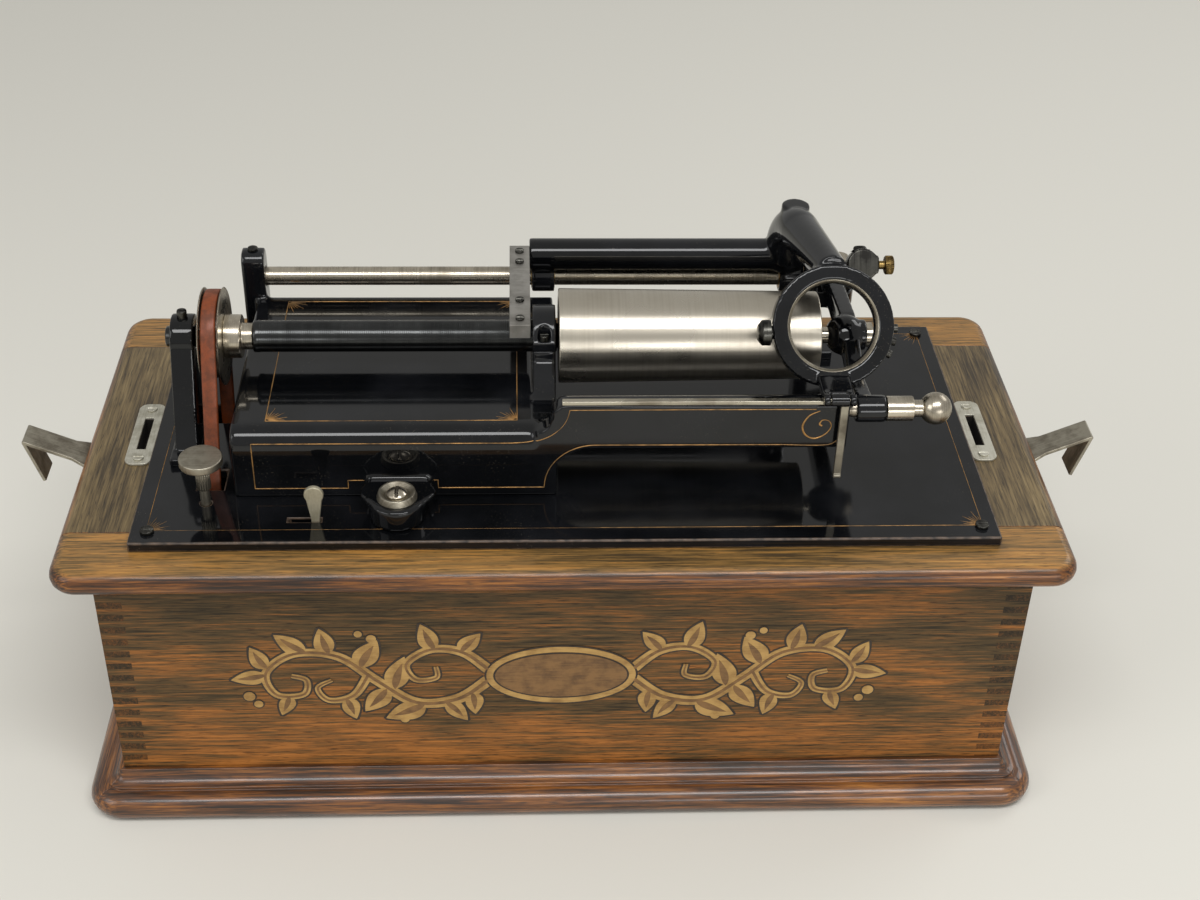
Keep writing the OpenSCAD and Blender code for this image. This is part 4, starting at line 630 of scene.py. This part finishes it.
# Strokes of one fan: from near a corner, spread over the quarter that the signs give
def fanStrokes(corner, signs, setup, z, share):
    strokes = []
    first, last = setup["angles"]
    short, tall = setup["length"]
    for k in range(setup["strokes"]):
        angle = math.radians(first + (last - first) * k / (setup["strokes"] - 1))
        length = short + (tall - short) * (0.5 + 0.5 * math.sin(k * setup["beat"]))
        points = []
        for part, _ in setup["weights"]:
            reach = setup["near"] + length * part
            points.append((corner[0] + signs[0] * reach * math.cos(angle),
                           corner[1] + signs[1] * reach * math.sin(angle), z))
        strokes.append((points, [weight * share for _, weight in setup["weights"]]))
    return strokes


def goldStrokes(setup):
    faceY, roll = setup["faceY"], setup["rollRadius"]
    rollZ = setup["deckZ"] - roll

    def onFace(x, z):
        if x < setup["rollEnd"] and z > rollZ:
            return (x, faceY + roll - math.sqrt(roll * roll - (z - rollZ) ** 2), z)
        return (x, faceY, z)

    bend = throughPoints([(x, z, 0) for x, z in setup["upperBend"]])
    high = setup["upperStart"] + [(p.x, p.y) for p in bend] + setup["upperEnd"]
    cx, cz, r = setup["lowerArc"]
    turns = [step * math.pi / 2 / setup["arcSteps"] for step in range(1, setup["arcSteps"] + 1)]
    quarter = [(cx - r * math.cos(turn), cz + r * math.sin(turn)) for turn in turns]
    end = throughPoints([(x, z, 0) for x, z in setup["lowerEnd"]])
    low = setup["lower"] + quarter + [(p.x, p.y) for p in end]
    strokes = [wornLine([onFace(x, z) for x, z in line], setup, 1.0) for line in (high, low)]
    curl = throughPoints([(x, z, weight) for (x, z), weight in zip(setup["curl"], setup["curlWeights"])])
    strokes.append(([onFace(p.x, p.y) for p in curl], [p.z for p in curl]))
    for key in ("deck", "plate"):
        corners, z, share = setup[key + "Frame"], setup[key + "Z"], setup[key + "Share"]
        strokes.append(wornLine([(x, y, z) for x, y in corners + corners[:1]], setup, share))
        for corner, signs in zip(corners, ((1, 1), (-1, 1), (-1, -1), (1, -1))):
            strokes += fanStrokes(corner, signs, setup["fan"], z, share)
    return strokes


# Edge mesh of strokes, with a weight for the thickness at each point
def strokeMesh(name, strokes):
    points, edges, weights = [], [], []
    for line, thickness in strokes:
        first = len(points)
        points += [Vector(p) * mm for p in line]
        weights += thickness
        edges += [(k, k + 1) for k in range(first, len(points) - 1)]
    mesh = bpy.data.meshes.new(name)
    mesh.from_pydata(points, edges, [])
    mesh.attributes.new("weight", "FLOAT", "POINT").data.foreach_set("value", weights)
    return mesh


def pinstripeTree(sides):
    tree, given = newTree("pinstripes", {"Radius": "NodeSocketFloat", "Paint": "NodeSocketMaterial"})
    curve = addNode(tree, "GeometryNodeMeshToCurve", {"Mesh": given.outputs["Geometry"]})
    weight = addNode(tree, "GeometryNodeInputNamedAttribute", {"Name": "weight"}, data_type="FLOAT")
    section = addNode(tree, "GeometryNodeCurvePrimitiveCircle", {"Resolution": sides,
                                                                 "Radius": given.outputs["Radius"]})
    tube = addNode(tree, "GeometryNodeCurveToMesh", {"Curve": curve, "Profile Curve": section,
                                                     "Scale": weight, "Fill Caps": True})
    closeTree(tree, tube, given.outputs["Paint"])
    return tree


stripes = grown("goldPinstripes", strokeMesh("goldPinstripes", goldStrokes(goldLines)),
                pinstripeTree(goldLines["sides"]),
                {"Radius": goldLines["radius"] * mm, "Paint": tone["goldPaint"]})
addPiece("goldPinstripes", stripes, "top", "brass")
print("pinstripes drawn,", len(stripes.polygons), "faces")


# Turned shape round a line along X: points are X and radius in mm
def turned(name, profile, centre, segments):
    shape = bmesh.new()
    rings = []
    for x, r in profile:
        if r == 0:
            rings.append([shape.verts.new(Vector((x, centre[0], centre[1])) * mm)])
            continue
        ring = []
        for k in range(segments):
            angle = 2 * math.pi * k / segments
            place = (x, centre[0] + r * math.cos(angle), centre[1] + r * math.sin(angle))
            ring.append(shape.verts.new(Vector(place) * mm))
        rings.append(ring)
    for one, two in zip(rings, rings[1:]):
        for k in range(segments):
            n = (k + 1) % segments
            if len(one) == 1:
                shape.faces.new((one[0], two[n], two[k]))
            elif len(two) == 1:
                shape.faces.new((one[k], one[n], two[0]))
            else:
                shape.faces.new((one[k], one[n], two[n], two[k]))
    bmesh.ops.recalc_face_normals(shape, faces=shape.faces)
    return meshFrom(shape, name)


# Feed screw: a turned spindle and a raised helix, coarser than the real hundred threads to the inch
feedScrew = {
    "axis": (0, 211.3), "segments": 64, "pitch": 1.0, "thread": (-146.5, -19.0),
    "root": 7.6, "ridge": 0.2, "turnSteps": 30, "ridgeSides": 5,
    "profile": [(-191, 0), (-191, 4.5), (-190.5, 5), (-149.5, 5), (-149.5, 7.4), (-149.1, 7.8), (-147, 7.8),
                (-146.6, 7.6), (-18.9, 7.6), (-18.5, 7.8), (-4.7, 7.8), (-4.3, 7.4), (-4.3, 6), (20.5, 6),
                (20.5, 0)],
}


def threadTree(setup):
    tree, given = newTree("feedThread", {"Turns": "NodeSocketFloat", "Length": "NodeSocketFloat",
                                         "Root": "NodeSocketFloat", "Ridge": "NodeSocketFloat",
                                         "Start": "NodeSocketVector", "Metal": "NodeSocketMaterial"})
    take = given.outputs
    helix = addNode(tree, "GeometryNodeCurveSpiral", {"Resolution": setup["turnSteps"],
                                                      "Rotations": take["Turns"],
                                                      "Start Radius": take["Root"],
                                                      "End Radius": take["Root"],
                                                      "Height": take["Length"]})
    section = addNode(tree, "GeometryNodeCurvePrimitiveCircle", {"Resolution": setup["ridgeSides"],
                                                                 "Radius": take["Ridge"]})
    ridge = addNode(tree, "GeometryNodeCurveToMesh", {"Curve": helix, "Profile Curve": section,
                                                      "Fill Caps": True})
    laid = addNode(tree, "GeometryNodeTransform", {"Geometry": ridge, "Translation": take["Start"],
                                                   "Rotation": (0, math.pi / 2, 0)})
    both = tree.nodes.new("GeometryNodeJoinGeometry")
    tree.links.new(laid, both.inputs[0])
    tree.links.new(take["Geometry"], both.inputs[0])
    closeTree(tree, both.outputs[0], take["Metal"])
    return tree


def makeFeedScrew(setup):
    y, z = setup["axis"]
    low, high = setup["thread"]
    core = turned("feedSpindle", setup["profile"], setup["axis"], setup["segments"])
    values = {"Turns": (high - low) / setup["pitch"], "Length": (high - low) * mm,
              "Root": setup["root"] * mm, "Ridge": setup["ridge"] * mm,
              "Start": Vector((low, y, z)) * mm, "Metal": tone["feedSteel"]}
    mesh = grown("feedThread", core, threadTree(setup), values)
    addPiece("feedThread", mesh, bodyOf["feed_screw"], "steel", "feed_screw")
    print("feed thread cut,", len(mesh.polygons), "faces")


makeFeedScrew(feedScrew)


# Fine ridges round a grip, along its axis
ridgeSides = 8
grips = {  # node whose box centres it, reach in mm along the axis from its high end, radius and ridges
    "thumbscrewGrip": {"node": "shaver_thumbscrew", "axis": "x", "reach": (0.4, 3.6), "radius": 4.15,
                       "count": 26, "ridge": 0.32, "metal": "oldBronze", "slot": "brass"},
    "speedScrewGrip": {"node": "speed_screw", "axis": "z", "reach": (5, 17.5), "radius": 3.05, "count": 18,
                       "ridge": 0.35, "metal": "sheetSteel", "slot": "steel"},
}


def gripTree():
    tree, given = newTree("gripRidges", {"Count": "NodeSocketInt", "Radius": "NodeSocketFloat",
                                         "Ridge": "NodeSocketFloat", "Length": "NodeSocketFloat",
                                         "Centre": "NodeSocketVector", "Turn": "NodeSocketVector",
                                         "Metal": "NodeSocketMaterial"})
    take = given.outputs
    circle = addNode(tree, "GeometryNodeMeshCircle", {"Vertices": take["Count"], "Radius": take["Radius"]})
    ridge = addNode(tree, "GeometryNodeMeshCylinder", {"Vertices": ridgeSides, "Radius": take["Ridge"],
                                                       "Depth": take["Length"]})
    ridges = addNode(tree, "GeometryNodeInstanceOnPoints", {"Points": circle, "Instance": ridge})
    placed = addNode(tree, "GeometryNodeTransform", {"Geometry": ridges, "Translation": take["Centre"],
                                                     "Rotation": take["Turn"]})
    closeTree(tree, placed, take["Metal"])
    return tree


def makeGrips(setups):
    tree = gripTree()
    for name, setup in setups.items():
        low, high = (Vector(corner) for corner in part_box(setup["node"]))
        along = "xyz".index(setup["axis"])
        centre = (low + high) / 2
        centre[along] = high[along] - sum(setup["reach"]) / 2 * mm
        values = {"Count": setup["count"], "Radius": setup["radius"] * mm, "Ridge": setup["ridge"] * mm,
                  "Length": (setup["reach"][1] - setup["reach"][0]) * mm, "Centre": centre,
                  "Turn": Vector((0, math.pi / 2 if along == 0 else 0, 0)), "Metal": tone[setup["metal"]]}
        mesh = grown(name, bpy.data.meshes.new(name), tree, values)
        addPiece(name, mesh, bodyOf[setup["node"]], setup["slot"])


makeGrips(grips)
print("grips ridged")


# Bright turned rim in the mouth of the eye, where the japan has worn off the bevel
eyeRim = {
    "centre": (123.6, -28.19, 233.51), "tilt": 33.0,  # degrees
    "segments": 96,
    # radius, and reach out of the eye
    "section": [(20.0, 2.2), (20.05, 2.6), (21.3, 3.85), (21.5, 3.95), (21.5, 3.5), (20.3, 2.3)],
}


def makeEyeRim(setup):
    tilt = math.radians(setup["tilt"])
    along = Vector((1, 0, 0))
    up = Vector((0, math.sin(tilt), math.cos(tilt)))
    out = Vector((0, -math.cos(tilt), math.sin(tilt)))
    rings = []
    for k in range(setup["segments"]):
        angle = 2 * math.pi * k / setup["segments"]
        spoke = along * math.cos(angle) + up * math.sin(angle)
        rings.append([Vector(setup["centre"]) + spoke * r + out * depth for r, depth in setup["section"]])
    mesh = closedBand("eyeRim", rings)
    mesh.materials.append(tone["drawnSteel"])
    addPiece("eyeRim", mesh, bodyOf["carriage_casting"], "steel")


makeEyeRim(eyeRim)
print("eye rim turned")


# Painted ornament of the front board: leaf scrolls on both sides of a plain oval
ornament = {
    "centre": (-3, 80), "boardY": -97.5, "sunk": 0.02, "layer": 0.12, "apart": 0.0015,  # mm
    "outline": 0.9, "oval": (36, 18), "ovalRing": 4.2,
    "vineSteps": 8, "vineVein": 0.3, "leafSteps": 12, "leafCurl": 0.16, "leafVein": (0.8, 0.32),
    "leafBelly": (0.75, 0.9),  # where a leaf is widest, and how full it is
    "berryOutline": 0.7, "ovalSteps": 72,
    "vines": [  # points from the centre, thickness at both ends
        ([(35, -3), (50, -15), (70, -17), (88, -3), (106, 13), (127, 15), (141, 3), (137, -11), (124, -11),
          (122, -2), (129, 1)], (6.6, 2.6)),
        ([(35, 4), (47, 15), (62, 17), (74, 8), (70, -2), (60, -1), (60, 6)], (5.8, 2.2)),
        ([(92, 2), (100, -12), (112, -15), (117, -7), (110, -2)], (4.8, 2.0)),
    ],
    "leaves": [  # base, heading in degrees, length, width
        ((56, -17), -140, 16, 9), ((66, -18), -35, 21, 12), ((84, -8), -62, 18, 11), ((80, -8), 95, 21, 12),
        ((96, 6), 108, 19, 12), ((110, 15), 66, 16, 10), ((121, 16), 28, 18, 10), ((140, 6), 52, 15, 9),
        ((141, 2), -20, 17, 9), ((48, 15), 120, 15, 9), ((60, 17), 58, 17, 10), ((104, -14), -118, 14, 9),
        ((43, -11), -105, 14, 9), ((131, -12), -80, 13, 8),
    ],
    "berries": [((150, -12), 2.8), ((146, -17), 2.2), ((90, 24), 2.4), ((96, 27), 1.9), ((76, -28), 2.2)],
}
transferPaints = ["transferOchre", "transferUmber", "transferBlack"]
ochre, umber, black = range(len(transferPaints))


# Both edges of a vine, which thins from one end to the other
def vineSides(points, ends, extra, setup):
    line = throughPoints([(u, v, 0) for u, v in points], setup["vineSteps"])
    last = len(line) - 1
    sides = []
    for k, point in enumerate(line):
        ahead = (line[min(k + 1, last)] - line[max(k - 1, 0)]).normalized()
        half = (ends[0] + (ends[1] - ends[0]) * (k / last)) / 2 + extra
        aside = Vector((-ahead.y, ahead.x, 0)) * half
        sides.append((point + aside, point - aside))
    return sides


# Both edges of a leaf, which curls a little to one side
def leafSides(base, heading, length, width, extra, setup):
    angle = math.radians(heading)
    ahead = Vector((math.cos(angle), math.sin(angle), 0))
    aside = Vector((-ahead.y, ahead.x, 0))
    widest, fullness = setup["leafBelly"]
    sides = []
    for k in range(setup["leafSteps"] + 1):
        share = k / setup["leafSteps"]
        half = width / 2 * math.sin(math.pi * share ** widest) ** fullness + extra
        curl = setup["leafCurl"] * length * share * share
        spot = Vector((*base, 0)) + ahead * (length * share + extra * (2 * share - 1)) + aside * curl
        sides.append((spot + aside * half, spot - aside * half))
    return sides


def ovalPoints(centre, across, tall, setup):
    turns = [2 * math.pi * k / setup["ovalSteps"] for k in range(setup["ovalSteps"])]
    return [Vector((centre[0] + across * math.cos(turn), centre[1] + tall * math.sin(turn), 0))
            for turn in turns]


# Shapes of the right half, then those of the oval: kind, points, layer and paint
def ornamentShapes(setup):
    edge, ring = setup["outline"], setup["ovalRing"]
    half = []
    for points, ends in setup["vines"]:
        vein = [end * setup["vineVein"] for end in ends]
        for wide, extra, layer, paint in ((ends, edge, 1, black), (ends, 0, 2, ochre), (vein, 0, 3, umber)):
            half.append(("strip", vineSides(points, wide, extra, setup), layer, paint))
    for base, heading, length, width in setup["leaves"]:
        vein = (length * setup["leafVein"][0], width * setup["leafVein"][1])
        for size, extra, layer, paint in (((length, width), edge, 1, black), ((length, width), 0, 2, ochre),
                                          (vein, 0, 3, umber)):
            half.append(("strip", leafSides(base, heading, *size, extra, setup), layer, paint))
    for centre, radius in setup["berries"]:
        for size, layer, paint in ((radius + edge * setup["berryOutline"], 1, black), (radius, 2, ochre)):
            half.append(("oval", ovalPoints(centre, size, size, setup), layer, paint))
    across, tall = setup["oval"]
    middle = [(ovalPoints((0, 0), across - inset, tall - inset, setup), layer, paint)
              for inset, layer, paint in ((-edge, 3, black), (0, 4, ochre),
                                          (ring - edge, 5, black), (ring, 6, umber))]
    return half, middle


# Closed thin layers on the board, with the right half mirrored to the left
def makeOrnament(setup):
    shape = bmesh.new()
    half, middle = ornamentShapes(setup)
    u0, v0 = setup["centre"]

    def place(point, mirror, level):
        return shape.verts.new(Vector((u0 + mirror * point.x, setup["boardY"] - level, v0 + point.y)) * mm)

    def addFace(corners, paint):
        shape.faces.new(corners).material_index = paint

    def strip(sides, mirror, level, paint):
        front, back = ([[place(p, mirror, depth) for p in pair] for pair in sides]
                       for depth in (level, -setup["sunk"]))
        for k in range(len(front) - 1):
            for row in (front, back):
                addFace((row[k][0], row[k + 1][0], row[k + 1][1], row[k][1]), paint)
            for side in (0, 1):
                addFace((front[k][side], front[k + 1][side], back[k + 1][side], back[k][side]), paint)
        for k in (0, len(front) - 1):
            addFace((front[k][0], front[k][1], back[k][1], back[k][0]), paint)

    def disc(points, mirror, level, paint):
        front, back = ([place(p, mirror, depth) for p in points] for depth in (level, -setup["sunk"]))
        addFace(front, paint)
        addFace(back, paint)
        for k in range(len(points)):
            n = (k + 1) % len(points)
            addFace((front[k], front[n], back[n], back[k]), paint)

    for number, (kind, points, layer, paint) in enumerate(half):
        level = layer * setup["layer"] + number * setup["apart"]
        for mirror in (1, -1):
            (strip if kind == "strip" else disc)(points, mirror, level, paint)
    for points, layer, paint in middle:
        disc(points, 1, layer * setup["layer"], paint)
    bmesh.ops.recalc_face_normals(shape, faces=shape.faces)
    mesh = meshFrom(shape, "frontOrnament", smooth=False)
    for name in transferPaints:
        mesh.materials.append(tone[name])
    addPiece("frontOrnament", mesh, bodyOf["front_board"], "oak")


makeOrnament(ornament)
print("ornament painted")


# Plain pale floor and soft studio light
studio = {
    "floorSize": 7.0, "floor": "#dcdad2", "floorRoughness": 0.9, "world": "#f3f2ee", "worldStrength": 0.55,
    "softboxes": [  # place, aim (m), width, height, watts
        ((0.1, -0.75, 1.5), (0, 0, 0.1), 1.3, 0.4, 14),
        ((0.75, -2.0, 0.45), (0, 0, 0.1), 1.3, 0.4, 8),
        ((-1.4, -0.9, 1.1), (0, 0, 0.1), 0.9, 0.9, 6),
        ((1.3, 0.9, 1.2), (0, 0, 0.1), 0.9, 0.6, 5),
    ],
}


def makeStudio(setup):
    half = setup["floorSize"] / 2
    mesh = bpy.data.meshes.new("paleFloor")
    corners = [(-half, -half, 0), (half, -half, 0), (half, half, 0), (-half, half, 0)]
    mesh.from_pydata(corners, [], [(0, 1, 2, 3)])
    floor = bpy.data.objects.new("paleFloor", mesh)
    bpy.context.scene.collection.objects.link(floor)
    paper = newMaterial("paleFloorPaper", **{"Base Color": linear(setup["floor"]),
                                             "Roughness": setup["floorRoughness"]})[0]
    mesh.materials.append(paper)
    world = bpy.data.worlds.new("studioWorld")
    world.use_nodes = True
    sky = world.node_tree.nodes["Background"]
    sky.inputs["Color"].default_value = linear(setup["world"])
    sky.inputs["Strength"].default_value = setup["worldStrength"]
    bpy.context.scene.world = world
    for number, (place, aim, width, height, watts) in enumerate(setup["softboxes"]):
        data = bpy.data.lights.new(f"softbox{number}", "AREA")
        data.shape = "RECTANGLE"
        data.size, data.size_y, data.energy = width, height, watts
        lamp = bpy.data.objects.new(f"softbox{number}", data)
        lamp.location = place
        lamp.rotation_euler = (Vector(aim) - Vector(place)).to_track_quat("-Z", "Y").to_euler()
        bpy.context.scene.collection.objects.link(lamp)
    bpy.context.scene.view_settings.view_transform = "Standard"


makeStudio(studio)
print("studio lit")
